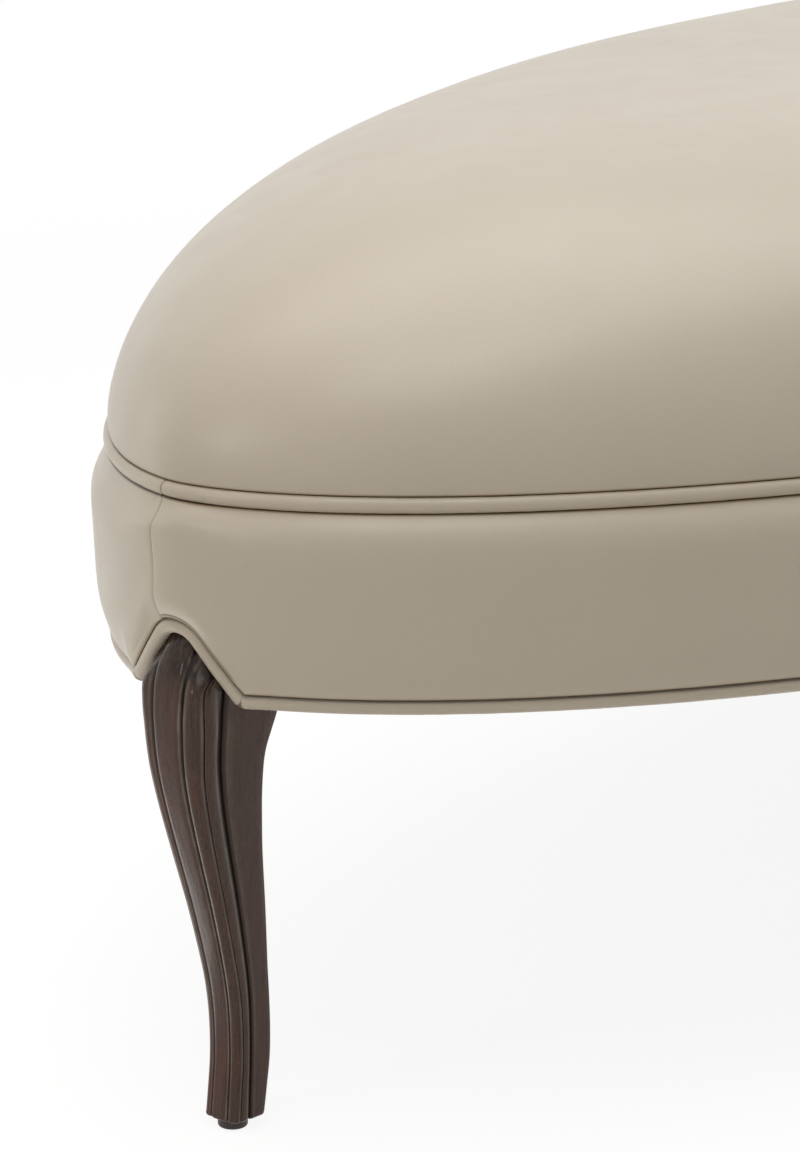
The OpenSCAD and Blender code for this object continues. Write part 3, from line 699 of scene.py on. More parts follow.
def welt_tree():
    """Sweeps a round section along a closed path of points. Each point carries the
    two directions across the path and how deep the cover is pinched there."""
    t = Tree("Welt sweep")
    diameter, sides = t.value("Diameter", "Float"), t.value("Sides", "Int")
    material = t.value("Material", "Material")
    path = t.input.outputs["Geometry"]
    count = t.node("GeometryNodeAttributeDomainSize", {"Geometry": path},
                   component="MESH").outputs["Point Count"]
    rows, columns = t.maths("ADD", count, 1.0), t.maths("ADD", sides, 1.0)
    grid = t.node("GeometryNodeMeshGrid", {"Vertices X": rows, "Vertices Y": columns})
    index = t.node("GeometryNodeInputIndex").outputs[0]
    row = t.maths("FLOOR", t.maths("DIVIDE", t.maths("ADD", index, 0.5), columns))
    station = t.maths("MODULO", row, count)
    column = t.maths("SUBTRACT", index, t.maths("MULTIPLY", row, columns))
    angle = t.maths("MULTIPLY", t.maths("DIVIDE", column, sides), 2 * math.pi)

    def sample(value, kind):
        s = t.node("GeometryNodeSampleIndex", {"Geometry": path}, data_type=kind,
                   domain="POINT")
        t.put(s.inputs["Value"], value)
        t.put(s.inputs["Index"], station)
        return s.outputs["Value"]
    here = sample(t.node("GeometryNodeInputPosition").outputs[0], "FLOAT_VECTOR")
    side, up = (sample(t.named(name, "FLOAT_VECTOR"), "FLOAT_VECTOR") for name in ("side", "up"))
    seam, pinch = (sample(t.named(name), "FLOAT") for name in ("seam", "pinch"))
    crinkle = t.node("ShaderNodeTexNoise", {"Vector": here, "Scale": 130.0, "Detail": 2.0},
                     noise_dimensions="3D").outputs[0]
    radius = t.maths("SUBTRACT", t.maths("MULTIPLY", diameter, 0.5), pinch)
    radius = t.maths("ADD", radius, t.maths("MULTIPLY", t.maths("SUBTRACT", crinkle, 0.5),
                                            WELT_CRINKLE))
    out = t.scaled(side, t.maths("MULTIPLY", t.maths("COSINE", angle), radius))
    rise = t.scaled(up, t.maths("MULTIPLY", t.maths("SINE", angle), radius))
    kept = t.node("GeometryNodeStoreNamedAttribute",
                  {"Geometry": grid.outputs["Mesh"], "Name": "seam", "Value": seam},
                  data_type="FLOAT", domain="POINT").outputs[0]
    placed = t.change("GeometryNodeSetPosition", kept,
                      Position=t.added(here, t.added(out, rise)))
    closed = t.change("GeometryNodeMergeByDistance", placed, Distance=1e-6)
    t.finish(t.change("GeometryNodeSetShadeSmooth", closed, Shade_Smooth=True), material)
    return t


def path_object(name, points, **columns):
    """A closed path whose points carry the columns, of numbers or of vectors."""
    mesh = bpy.data.meshes.new(name)
    mesh.from_pydata(points, [(i, (i + 1) % len(points)) for i in range(len(points))], [])
    for key, column in columns.items():
        if isinstance(column[0], float):
            mesh.attributes.new(key, "FLOAT", "POINT").data.foreach_set("value", column)
        else:
            layer = mesh.attributes.new(key, "FLOAT_VECTOR", "POINT")
            layer.data.foreach_set("vector", [c for v in column for c in v])
    return add_object(name, mesh)


def staple_tree():
    """Turns a staple crown to lie along the outline at every point of the path."""
    t = Tree("Staple row")
    long, wide, thick = (t.value(name, "Float") for name in ("Length", "Width", "Thickness"))
    material = t.value("Material", "Material")

    def xyz(**parts):
        return t.node("ShaderNodeCombineXYZ", parts).outputs[0]
    crown = t.node("GeometryNodeMeshCube", {"Size": xyz(X=wide, Y=long, Z=thick),
                                            "Vertices X": 3, "Vertices Y": 5, "Vertices Z": 2})
    place = t.node("GeometryNodeInputPosition").outputs[0]
    y = t.node("ShaderNodeSeparateXYZ", {"Vector": place}).outputs["Y"]
    ends = t.maths("DIVIDE", t.maths("ABSOLUTE", y), t.maths("MULTIPLY", long, 0.5))
    dip = t.maths("MULTIPLY", t.maths("POWER", ends, 6.0), t.maths("MULTIPLY", thick, 0.7))
    bent = t.change("GeometryNodeSetPosition", crown.outputs["Mesh"], Offset=xyz(Z=dip))
    row = t.node("GeometryNodeInstanceOnPoints",
                 {"Points": t.input.outputs["Geometry"], "Instance": bent,
                  "Rotation": xyz(Z=t.named("turn"))})
    t.finish(row.outputs[0], material)
    return t


# ---------------------------------------------------------------- soft pieces

# Rows of the cover's tucked edge: how far out and up from the seam in millimetres,
# and how much painted seam shade it takes there, where it lies in the seam
SEAT_TUCK = (
    (-5.0, -1.0, 1.0), (-3.2, -0.85, 1.0), (-1.8, -0.6, 1.0), (-1.0, -0.25, 1.0),
    (-0.45, 0.25, 0.75), (-0.15, 0.85, 0.3), (0.0, 1.6, 0.0),
)
# Rows of the crown's shoulder and of its top, and the turn at which they meet
SHOULDER_ROWS, TOP_ROWS, SHOULDER_TURN = 34, 44, math.radians(72)
# Down to which share of the plan a row has all its points, a half, a quarter and an eighth
SEAT_THINNING = ((0.55, 1), (0.27, 2), (0.13, 4), (-1.0, 8))


def seat_profile():
    """Rows of the seat cover from its tucked edge to the crown, each as how far it
    is scaled in plan, its offset, its height and how much painted seam shade it takes."""
    s = settings("seat")
    rise = s.top - s.base
    rows = [(1.0, out * MM, s.base + up * MM, seam) for out, up, seam in SEAT_TUCK]
    start = math.asin((SEAT_TUCK[-1][1] * MM / rise) ** (s.crown / 2))
    for i in range(1, SHOULDER_ROWS + 1):
        a = start + (SHOULDER_TURN - start) * (i / SHOULDER_ROWS) ** 1.15
        height = s.base + rise * math.sin(a) ** (2 / s.crown)
        rows.append((math.cos(a) ** (2 / s.shoulder), 0.0, height, 0.0))
    widest = rows[-1][0]
    for i in range(1, TOP_ROWS):
        k = widest * (1 - i / TOP_ROWS)
        rows.append((k, 0.0, s.base + rise * (1 - k ** s.shoulder) ** (1 / s.crown), 0.0))
    return rows


def build_seat():
    s, oval = settings("seat"), Outline()
    n, rise, wall = s.around, s.top - s.base, s.thickness
    angles = oval.even(n)
    skin = Skin("seam")

    def strays(flat, z, k):
        """How far the cover strays outwards: puckers by the seam, the pull into the
        seam, and the broad unevenness of its padding."""
        up = z - s.base
        near = math.exp(-up / 0.012) * smoothstep(0.0, 0.0016, up)
        away = 0.3 * MM * near * ripple((flat.x, flat.y, up * 0.2), 0.017, 3.0)
        away -= 1.1 * MM * math.exp(-max(0.0, up) / 0.007)
        broad = ripple((flat.x, flat.y, z), 0.16, 7.0)
        away += 0.9 * MM * smoothstep(0.002, 0.05, up) * broad * k
        return away * (1 - smoothstep(0.75, 0.95, up / rise))

    def row(count, k, out, z, seam, wavy):
        ids, high = [], smoothstep(0.5, 1.0, (z - s.base) / rise)
        for t in angles[::n // count]:
            flat, height = oval.point(t) * k + oval.normal(t) * out, z
            if wavy:
                flat += oval.normal(t) * strays(flat, z, k)
                height += 0.5 * MM * high * ripple((flat.x, flat.y, 0), 0.2, 11.0)
            ids.append(skin.add((flat.x, flat.y, height), seam=seam))
        return ids

    def points_for(k):
        return n // next(part for share, part in SEAT_THINNING if k > share)

    profile = seat_profile()
    outer = [row(points_for(k), k, out, z, seam, True) for k, out, z, seam in profile]
    skin.stack(outer)
    skin.fan(outer[-1], skin.add((0, 0, s.top)))
    inner = [row(min(points_for(k), n // 2), k, out - wall,
                 min(z, s.base + (z - s.base) * (1 - wall / rise)), 0.0, False)
             for k, out, z, _ in profile[len(SEAT_TUCK) - 1::4]]
    rim = row(n // 2, 1.0, SEAT_TUCK[0][0] * MM, s.base + 0.2 * MM, 1.0, False)
    skin.join(outer[0], rim)
    skin.stack([rim] + inner)
    skin.fan(inner[-1], skin.add((0, 0, s.top - wall)))
    return skin.build("seat_cover_tight")


# Height up the band, and how far it swells there as a share: by its end seams and
# on the back panel, and on the front panel, which is drawn fuller under the welt
BAND_SHARES = (
    (0.000, 0.06, 0.06), (0.025, 0.17, 0.17), (0.057, 0.30, 0.30), (0.100, 0.465, 0.465),
    (0.154, 0.63, 0.63), (0.208, 0.74, 0.74), (0.262, 0.81, 0.81), (0.316, 0.85, 0.85),
    (0.380, 0.885, 0.885), (0.445, 0.92, 0.925), (0.500, 0.953, 0.965), (0.552, 0.983, 1.0),
    (0.606, 1.02, 1.03), (0.660, 1.055, 1.058), (0.714, 1.071, 1.072), (0.757, 1.047, 1.066),
    (0.779, 1.005, 1.054), (0.800, 0.928, 1.036), (0.822, 0.813, 1.012), (0.843, 0.683, 0.97),
    (0.865, 0.554, 0.91), (0.886, 0.434, 0.825), (0.908, 0.324, 0.711), (0.929, 0.233, 0.56),
    (0.946, 0.175, 0.422), (0.956, 0.142, 0.319), (0.967, 0.105, 0.211), (0.978, 0.075, 0.09),
    (0.989, 0.04, -0.036), (1.000, 0.0, -0.193),
)
# Rows of the band's tucked lower edge: how far out from its crease against the
# welt, how far from the welt's middle line, and how much painted seam shade it takes
# on the back panel and on the front panel, whose edge is turned in further
LOWER_LIP = (
    (-3.0, 2.4, 1.0, 1.0), (-1.2, 3.0, 1.0, 1.0), (0.0, 3.5, 1.0, 1.0), (0.5, 3.55, 0.9, 1.0),
    (1.1, 3.72, 0.5, 1.0), (1.7, 3.95, 0.25, 1.0), (2.1, 4.2, 0.12, 0.95), (2.5, 4.55, 0.0, 0.7),
    (2.8, 5.0, 0.0, 0.3),
)


# Rows up the face of the band; rows turned in at its upper seam, out and up in
# millimetres; rows of its inside, as shares of its height; and the distances of its
# columns from an end seam, in steps of 1.2 mm
BAND_ROWS = 46
BAND_TURN_IN = ((-0.2, 0.0), (-0.6, 0.1), (-2.0, 0.3), (-3.6, 0.3))
BAND_INSIDE = (0.97, 0.8, 0.6, 0.4, 0.2, 0.05)
SEAM_COLUMNS = (0.25, 0.5, 1.0, 1.6, 2.4, 3.4, 5.0, 7.0)


def band_angles(oval, first, last):
    """Angles of the band's columns, close together over the legs and at the end
    seams, which lie at the angles first and last."""
    corner = oval.corner(LOWER_LIP[2][1] * MM)
    near = [0.0]
    while near[-1] < corner - 2.2 * MM:
        near.append(near[-1] + 1.3 * MM)
    near += [corner + k * MM for k in (-0.9, -0.4, 0, 0.4, 0.9)]
    while near[-1] < corner + 16 * MM:
        near.append(near[-1] + 2.4 * MM)
    angles = {round(t + turn, 9) for turn in (-2 * math.pi, 0, 2 * math.pi)
              for t in oval.whole(near, 5 * MM) if first + 1e-4 < t + turn < last - 1e-4}
    angles = {t for t in angles if oval.gap(t, (first, last)) > 9.5 * MM}
    for end, probe in ((first, 0.01), (last, -0.01)):
        step = oval.step(end, 1.2 * MM, probe)
        angles |= {end} | {end + step * share for share in SEAM_COLUMNS}
    return sorted(angles)


def band_row(f):
    """The height of a row as a share, closer together towards the upper seam."""
    if f < 0.5:
        return f + 0.07 * math.sin(2 * math.pi * f) * (f - 1)
    return 1 - (1 - f) * (0.35 + 0.65 * 2 * (1 - f))


def band_column(skin, oval, t, ends):
    """Points round the section of the band at the angle t: its tucked lower edge, its
    face, its edge turned in at the upper seam, and its inside."""
    s, w = settings("band"), settings("welts")
    mid = settings("oval").rail_line + w.lower_d / 2
    here, d, gap, on_front = oval.point(t), oval.leg_distance(t), oval.gap(t, ends), ends[0] < 0
    lip = oval.bulge(t) - (w.lower_inset - 1.9 * MM)
    fuller = smoothstep(0.0, 0.022, gap) if on_front else 0.0
    ids = []

    def put(out, z, seam):
        """Adds a point. By an end seam, tight at the top, it is pulled inwards."""
        high = smoothstep(0.0, 1.0, (z - mid) / (s.top - mid))
        dive = (0.2 + 0.5 * high) * MM * math.exp(-((gap / (0.8 * MM)) ** 1.3))
        p = here + oval.normal(t) * (out - dive)
        ids.append(skin.add((p.x, p.y, z), seam=seam))

    def swell(f):
        """How far the panel swells at the share f of its height."""
        plain, full = interpolate(BAND_SHARES, f), interpolate(BAND_SHARES, f, 2)
        return s.swell * (plain * (1 - fuller) + full * fuller)
    for out, off, *seam in LOWER_LIP:
        off += 0.13 * min(1.0, max(0.0, 1.5 + out)) * ripple(here, 0.009, 13.0)
        put(lip + out * MM, mid + oval.arch(d, off * MM), seam[on_front])
    z0 = mid + oval.arch(d, LOWER_LIP[-1][1] * MM) + 0.7 * MM
    z1 = s.top - 0.15 * MM
    past = lip + LOWER_LIP[-1][0] * MM - s.swell * BAND_SHARES[0][1]
    for i in range(BAND_ROWS + 1):
        f = band_row(i / BAND_ROWS)
        z = z0 + (z1 - z0) * f
        up, down = z1 - z, z - z0
        fold = math.exp(-up / 0.010) * smoothstep(0.0, 0.003, up) \
            + 0.7 * math.exp(-down / 0.008) * smoothstep(0.0, 0.003, down)
        from_lip = 1 if past > 0 else 1 - smoothstep(0.0, 0.004, down)
        out = swell(f) + past * (1 - smoothstep(0.0, 0.026, down)) * from_lip
        out += s.pucker * fold * ripple((here.x, here.y, z * 0.25), 0.013, 5.0)
        at_seam = math.exp(-gap / 0.011) * math.exp(-up / 0.012)
        out += 0.8 * MM * at_seam * ripple((here.x * 2, here.y * 2, z * 0.6), 0.009, 9.0)
        broad = ripple((here.x, here.y, z * 0.7), 0.11, 2.0)
        out += 0.4 * MM * broad * min(1, up / 0.02, down / 0.02)
        # Painted shade: a dark line down each end seam, along the lower seam on the front panel's
        # arch flanks, and under the upper seam.
        line = (0.16 + 0.4 * math.exp(-up / 0.03)) * math.exp(-((gap / (0.4 * MM)) ** 2))
        if on_front:
            flank = smoothstep(0.0, 0.006, oval.arch(d, 0.0))
            line = max(line, 0.8 * flank * (1 - smoothstep(0.0, 1.1 * MM, down)))
        put(out, z, max(line, 0.95 - 0.95 * smoothstep(0.4 * MM, 1.7 * MM, up)))
    wobble = 0.14 * ripple(here, 0.008, 17.0)
    # The edge turned in at the upper seam takes full painted seam shade.
    for out, up in BAND_TURN_IN:
        put(swell(1.0) + out * MM, s.top + (up + wobble) * MM, 1.0)
    low = mid + oval.arch(d, 4.4 * MM)
    for f in BAND_INSIDE:
        out = min(swell(f), swell(0.93)) if f > 0.9 else swell(f)
        put(out - settings("seat").thickness - 0.4 * MM, low + (s.top - low) * f, 0.0)
    return ids


def build_band(name, first, last):
    """One panel of the band, from the end seam at the angle first to that at last."""
    oval, skin = Outline(), Skin("seam")
    loops = [band_column(skin, oval, t, (first, last)) for t in band_angles(oval, first, last)]
    skin.stack(loops)
    skin.faces += [tuple(loops[0]), tuple(reversed(loops[-1]))]
    return skin.build(name)


# How far the cloth stays clear of a post, the step of its points, its sag between
# the rails and its thickness
CLOTH_CLEAR, CLOTH_STEP, CLOTH_SAG, CLOTH_THICK = 0.6 * MM, 13 * MM, 2.2 * MM, 0.7 * MM


def build_dust_cover():
    """The cloth under the frame: cut to the oval, notched round the legs, stretched
    between its staples, and sagging a little between them. Returns it with its flat
    size and its area."""
    oval, box, legs = Outline(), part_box("dust_cover"), settings("legs")
    inset = oval.a - box[1][0]
    half = legs.width / 2 + CLOTH_CLEAR
    deep = legs.post_inset + legs.post + CLOTH_CLEAR
    outline = []
    for quarter in range(4):
        way = quarter * math.pi / 2
        reach, next_reach = ((oval.a, oval.b), (oval.b, oval.a))[quarter % 2]
        arc = [oval.edge(way + i * math.pi / 240, -inset) for i in range(121)]
        axis = Vector((math.cos(way), math.sin(way), 0))
        across = Vector((-math.sin(way), math.cos(way), 0))
        inside = [p for p in arc if min(p.dot(across), p.dot(axis)) > half + 1 * MM]
        outline += [axis * (reach - deep) + across * half,
                    axis * inside[0].dot(axis) + across * half, *inside,
                    across * inside[-1].dot(across) + axis * half,
                    across * (next_reach - deep) + axis * half]
    flat = [Vector((p.x, p.y)) for p in outline]
    loop = [(i, (i + 1) % len(flat)) for i in range(len(flat))]

    def share(p):
        """0 in the middle of the cloth and 1 at its edge."""
        return abs(p.x / (oval.a - inset)) ** oval.p + abs(p.y / (oval.b - inset)) ** oval.q
    points = list(flat)
    for i in range(-66, 67):
        for j in range(-28, 29):
            p = Vector(((i + 0.5 * (j % 2)) * CLOTH_STEP, j * CLOTH_STEP * 0.87))
            at_end = abs(p.x) > oval.a - deep - 4 * MM and abs(p.y) < half + 4 * MM
            at_side = abs(p.y) > oval.b - deep - 4 * MM and abs(p.x) < half + 4 * MM
            if share(p) < 0.955 and not at_end and not at_side:
                points.append(p)
    made = geometry.delaunay_2d_cdt(points, loop, [list(range(len(flat)))], 1, 1e-6)

    def sag(p):
        broad = 1 + 0.5 * ripple((p.x, p.y, 0), 0.12, 4.0)
        fine = ripple((p.x, p.y, 0), 0.03, 6.0) * smoothstep(0.0, 0.06, 1 - share(p))
        return CLOTH_SAG * smoothstep(0.0, 0.3, 1 - share(p)) * broad + 0.4 * MM * fine
    work = bmesh.new()
    corners = [work.verts.new((p.x, p.y, box[1][2] - CLOTH_THICK / 2 - max(0.0, sag(p))))
               for p in made[0]]
    for face in made[2]:
        work.faces.new([corners[i] for i in face])
    mesh = bpy.data.meshes.new("dust_cover_cloth")
    bmesh.ops.recalc_face_normals(work, faces=work.faces)
    work.to_mesh(mesh)
    work.free()
    cloth = add_object("dust_cover_cloth", mesh)
    wall = cloth.modifiers.new("thickness", "SOLIDIFY")
    wall.thickness, wall.offset = CLOTH_THICK, 0.0
    smooth(cloth)
    return cloth, (2 * (oval.a - inset), 2 * (oval.b - inset)), sum(f.area for f in mesh.polygons)


# ---------------------------------------------------------------- welts

def build_welt(name, d, tree, material, angles, inset, height, joint_angles):
    """A welt with points at the angles, whose middle line lies as far inside the oval
    and as high as inset and height say. A joint is where the cover of the cord is
    joined, or a corner where it is mitred."""
    oval = Outline()

    def middle(t):
        return oval.edge(t, -inset(t)) + Vector((0, 0, height(t)))
    points, joints = [middle(t) for t in angles], [middle(t) for t in joint_angles]
    side, up, seam, pinch = [], [], [], []
    for i, t in enumerate(angles):
        before = (points[i] - points[i - 1]).normalized()
        after = (points[(i + 1) % len(points)] - points[i]).normalized()
        along, out = (before + after).normalized(), oval.normal(t)
        rise = along.cross(out).normalized()
        side.append(out)
        up.append(rise * math.copysign(1, rise.z) / max(0.5, along.dot(after)))
        near = min((points[i] - joint).length for joint in joints)
        # Painted shade in the crease at each joint and mitre.
        seam.append(float(0.85 * math.exp(-((near / (0.45 * MM)) ** 2))))
        pinch.append(float(0.42 * MM * math.exp(-((near / (0.7 * MM)) ** 2))))
    path = path_object(name + "_path", points, side=side, up=up, seam=seam, pinch=pinch)
    made = tree.bake(path, name + "_piping", Diameter=d, Sides=settings("welts").sides,
                     Material=material)
    outward(made)
    finish_piece(made, None, name)


def build_upper_welt(tree, material):
    w, oval = settings("welts"), Outline()
    z = settings("seat").base - 0.3 * MM - w.upper_d / 2
    turn = settings("band").seam_turn
    joints = (turn, math.pi - turn)
    angles = [t for t in oval.even(900) if oval.gap(t, joints) > 3.5 * MM]
    for joint in joints:
        step = oval.step(joint, MM, 0.001)
        angles += [(joint + step * k) % (2 * math.pi)
                   for k in (-2.4, -1.6, -1.0, -0.6, -0.3, 0, 0.3, 0.6, 1.0, 1.6, 2.4)]
    build_welt("upper_welt", w.upper_d, tree, material, sorted(angles),
               lambda t: w.upper_inset, lambda t: z, joints)


def build_lower_welt(tree, material):
    w, oval = settings("welts"), Outline()
    mid = settings("oval").rail_line + w.lower_d / 2
    corner = oval.corner(0.0)
    near = [0.0]
    while near[-1] < oval.arch_top - 0.8 * MM:
        near.append(near[-1] + 0.9 * MM)
    near.append(oval.arch_top)
    while near[-1] < corner - 3.4 * MM:
        near.append(near[-1] + 1.5 * MM)
    near += [corner + k * MM
             for k in (-2.2, -1.3, -0.8, -0.45, -0.2, 0, 0.2, 0.45, 0.8, 1.3, 2.2, 3.4)]
    end, side = oval.end_angle(corner), oval.side_angle(corner)
    mitres = [base + t for base in (0.0, math.pi) for t in (end, -end, side, math.pi - side)]
    build_welt("lower_welt", w.lower_d, tree, material, oval.whole(near, 5 * MM),
               lambda t: w.lower_inset - oval.bulge(t),
               lambda t: mid + oval.arch(oval.leg_distance(t), 0.0), mitres)


# ---------------------------------------------------------------- legs

# Height as a share of the carved part, the front and the back as shares of the
# depth, counted inwards from the oval, and the half width as a share
LEG_SHARES = (
    (0.000, 0.463, 0.872, 0.559), (0.057, 0.490, 0.926, 0.538), (0.119, 0.515, 0.974, 0.524),
    (0.181, 0.516, 0.981, 0.526), (0.243, 0.494, 0.964, 0.544), (0.304, 0.444, 0.937, 0.570),
    (0.426, 0.294, 0.884, 0.646), (0.547, 0.117, 0.818, 0.733), (0.608, 0.028, 0.797, 0.779),
    (0.667, -0.052, 0.783, 0.826), (0.727, -0.119, 0.789, 0.878), (0.757, -0.141, 0.814, 0.904),
    (0.787, -0.156, 0.869, 0.930), (0.816, -0.163, 0.925, 0.956), (0.850, -0.165, 0.975, 0.975),
    (0.908, -0.136, 1.010, 0.991), (0.953, -0.066, 1.020, 1.000), (0.983, 0.020, 1.030, 1.000),
    (1.000, 0.080, 1.040, 1.000),
)
# Where the grooves cut the front, in its own angle; the outer ones move with height
GROOVE_ANGLES = (
    (0.0, 69.0), (0.06, 71.0), (0.12, 73.5), (0.18, 73.0), (0.24, 71.0), (0.30, 68.0), (0.42, 63.7),
    (0.70, 63.7), (0.79, 66.5), (1.0, 67.0),
)
# The inner grooves' angle, points across a reed, how sharply a reed falls into its
# grooves, where the wear and painted highlight of its ridges lie, as a share of its
# half width, and their spread
INNER_GROOVE, REED_STEPS, REED_FALL, RIDGE, RIDGE_SPREAD = 11.2, 16, 3.2, 0.79, 0.09
# How round the back corners are, as a share of the width; where the knee starts to
# drop under the arch; how much squarer it gets there; and the height of its wall
BACK_ROUND, KNEE_START, KNEE_SQUARE, KNEE_WALL = 0.05, 0.87, 2.6, 8 * MM
# Rows of the foot's rounded edge: how far inside the section and how high, in
# millimetres. Then the rows of the leg, and the height of the first
FOOT_EDGE = ((1.5, 0.0), (0.75, 0.25), (0.25, 0.75), (0.0, 1.4))
LEG_ROWS, LEG_START = 118, 2.4 * MM


def leg_section(share, s, oval, knee_top, shrink=0.0):
    """One ring of the carved leg: the reeded front, then the flat sides and back."""
    half = s.width / 2 * interpolate(LEG_SHARES, share, 3) - shrink
    front = s.depth * interpolate(LEG_SHARES, share, 1) + shrink
    back = s.depth * interpolate(LEG_SHARES, share, 2) - shrink
    sink = s.reed * interpolate(LEG_SHARES, share, 3)
    z = s.foot + share * (knee_top - s.foot)
    ease = smoothstep(KNEE_START, 1.0, share)
    power = s.front_power + KNEE_SQUARE * smoothstep(0.8, 0.97, share)
    off = -settings("welts").lower_d / 2
    ring = []

    def put(x, y, groove, ridge, angle=None):
        """Adds a point. The angle is given on the front, which drops under the arch."""
        plan = 1.0 if angle is None else 1 - abs(math.cos(angle)) ** (2 / power)
        drop = oval.arch(0, off) - oval.arch(abs(y), off)
        ring.append((Vector((x, y, z - ease * (1 - plan) * drop)), groove, ridge))
    outer, inner = (math.degrees(math.asin(math.sin(math.radians(a)) ** (power / s.front_power)))
                    for a in (interpolate(GROOVE_ANGLES, share), INNER_GROOVE))
    cuts = (-90.0, -outer, -inner, inner, outer, 90.0)
    for a, b in zip(cuts, cuts[1:]):
        for i in range(REED_STEPS):
            u = 1 - 2 * i / REED_STEPS
            u = 0.5 - 0.5 * math.copysign(abs(u) ** 0.72, u)
            angle, side = math.radians(a + (b - a) * u), abs(2 * u - 1)
            cut = side ** REED_FALL
            x = 1 - abs(math.cos(angle)) ** (2 / power)
            y = -math.copysign(abs(math.sin(angle)) ** (2 / power), angle)
            # Wear and a painted highlight along the reeds' ridges; the ridge beside one inner
            # groove gets the full painted highlight, the others less.
            wear_and_highlight = (1.0 if a == -inner else 0.6) * math.exp(-((side - RIDGE) / RIDGE_SPREAD) ** 2)
            put(front + half * x + sink * cut * (1 - x), half * y - sink * cut * y * x,
                smoothstep(0.45, 0.95, cut), wear_and_highlight, angle)
    edge = front + half
    put(edge, sink - half, 1.0, 0.0, math.pi / 2)
    turn = 2 * half * BACK_ROUND
    flat = back - turn - edge - sink
    side = [(edge + sink * a, half - sink * b, groove, 0.0)
            for a, b, groove in ((0.25, 0.3, 0.5), (0.75, 0.04, 0.1))]
    side += [(edge + sink + flat * i / 5, half, 0.0, 0.0 if i else 0.3) for i in range(5)]
    side += [(back - turn + turn * math.sin(a), half - turn + turn * math.cos(a), 0.0, 0.25)
             for a in (math.radians(15 * i) for i in range(7))]
    for x, y, groove, ridge in side:
        put(x, -y, groove, ridge)
    for i in range(1, 6):
        put(back, (half - turn) * (i / 3 - 1), 0.0, 0.0)
    for point in reversed(side):
        put(*point)
    return ring


def leg_place(which, oval):
    """Moves a point of the leg drawn at the origin to its place on the oval."""
    return {
        "left": lambda v: (v.x - oval.a, v.y, v.z),
        "right": lambda v: (oval.a - v.x, -v.y, v.z),
        "front": lambda v: (-v.y, v.x - oval.b, v.z),
        "back": lambda v: (v.y, oval.b - v.x, v.z),
    }[which]


def build_leg(which):
    s, oval = settings("legs"), Outline()
    knee_top = settings("oval").rail_line + oval.arch_h
    place = leg_place(which, oval)
    skin = Skin("groove", "ridge", "knee")
    start = LEG_START / (knee_top - s.foot)
    shares = [start + (1 - start) * i / LEG_ROWS for i in range(LEG_ROWS + 1)]
    rings = [[(p + Vector((0, 0, up * MM)), groove, ridge)
              for p, groove, ridge in leg_section(0.0, s, oval, knee_top, shrink * MM)]
             for shrink, up in FOOT_EDGE]
    rings += [leg_section(share, s, oval, knee_top) for share in shares]
    # Where the top of each knee gets painted shade under the welt.
    knees = [0.0] * len(FOOT_EDGE) + [smoothstep(0.865, 0.98, share) for share in shares]
    rows = [[skin.add(place(p), groove=groove, ridge=ridge, knee=knee)
             for p, groove, ridge in ring] for ring, knee in zip(rings, knees)]
    skin.stack(rows)
    centre = sum((p for p, _, _ in rings[0]), Vector()) / len(rings[0])
    skin.fan(rows[0], skin.add(place(Vector((centre.x, centre.y, s.foot)))), True)
    rim = [p for p, _, _ in rings[-1]]
    rows = [rows[-1], [skin.add(place(p + Vector((0, 0, KNEE_WALL)))) for p in rim]]
    lo, hi, half = s.post_inset, s.post_inset + s.post, s.width / 2
    for z, pull in ((knee_top + KNEE_WALL + 0.3 * MM, 0.0), (s.post_top - 1.0 * MM, 0.0),
                    (s.post_top, 1.0 * MM)):
        row = []
        for p in rim:
            free = p.x > lo + 2 * MM or abs(p.y) > half * 0.9
            x = min(hi - pull, max(lo + pull, p.x)) if free else lo + pull
            y = min(half - pull, max(pull - half, p.y))
            row.append(skin.add(place(Vector((x, y, z)))))
        rows.append(row)
    skin.stack(rows)
    skin.fan(rows[-1], skin.add(place(Vector(((lo + hi) / 2, 0, s.post_top)))))
    return skin.build("leg_carved_" + which, math.radians(50))


def build_glide(which):
    s, oval = settings("legs"), Outline()
    place = leg_place(which, oval)
    x = s.depth * (LEG_SHARES[0][1] + LEG_SHARES[0][2]) / 2
    r, h, soft = s.glide_d / 2, s.foot, 1.6 * MM
    profile = [(r - soft - 0.2 * MM, 0.0)]
    profile += [(r - soft + soft * math.sin(a), soft - soft * math.cos(a))
                for a in (math.radians(10 * i) for i in range(10))]
    profile += [(r, h * 0.55), (r, h - 0.9 * MM), (r - 0.12 * MM, h - 0.45 * MM),
                (r - 0.5 * MM, h - 0.1 * MM), (r - 1.0 * MM, h + 0.4 * MM)]
    skin, count = Skin(), 72
    turns = [2 * math.pi * i / count for i in range(count)]
    rings = [[skin.add(place(Vector((x + radius * math.cos(a), radius * math.sin(a), z))))
              for a in turns] for radius, z in profile]
    skin.stack(rings)
    skin.fan(rings[0], skin.add(place(Vector((x, 0, 0)))), True)
    skin.fan(rings[-1], skin.add(place(Vector((x, 0, h + 0.4 * MM)))))
    return skin.build("glide_round_" + which, math.radians(40))


# ---------------------------------------------------------------- operators

class BENCH_OT_seat(bpy.types.Operator):
    """Make the domed seat cover, tucked into the seam above the upper welt"""
    bl_idname = "bench.seat"
    bl_label = "Seat cover"

    def execute(self, context):
        piece = build_seat()
        material = cover_material("cover_satin", tuple(settings("colours").cover))
        finish_piece(piece, material, "seat_cover")
        return {"FINISHED"}


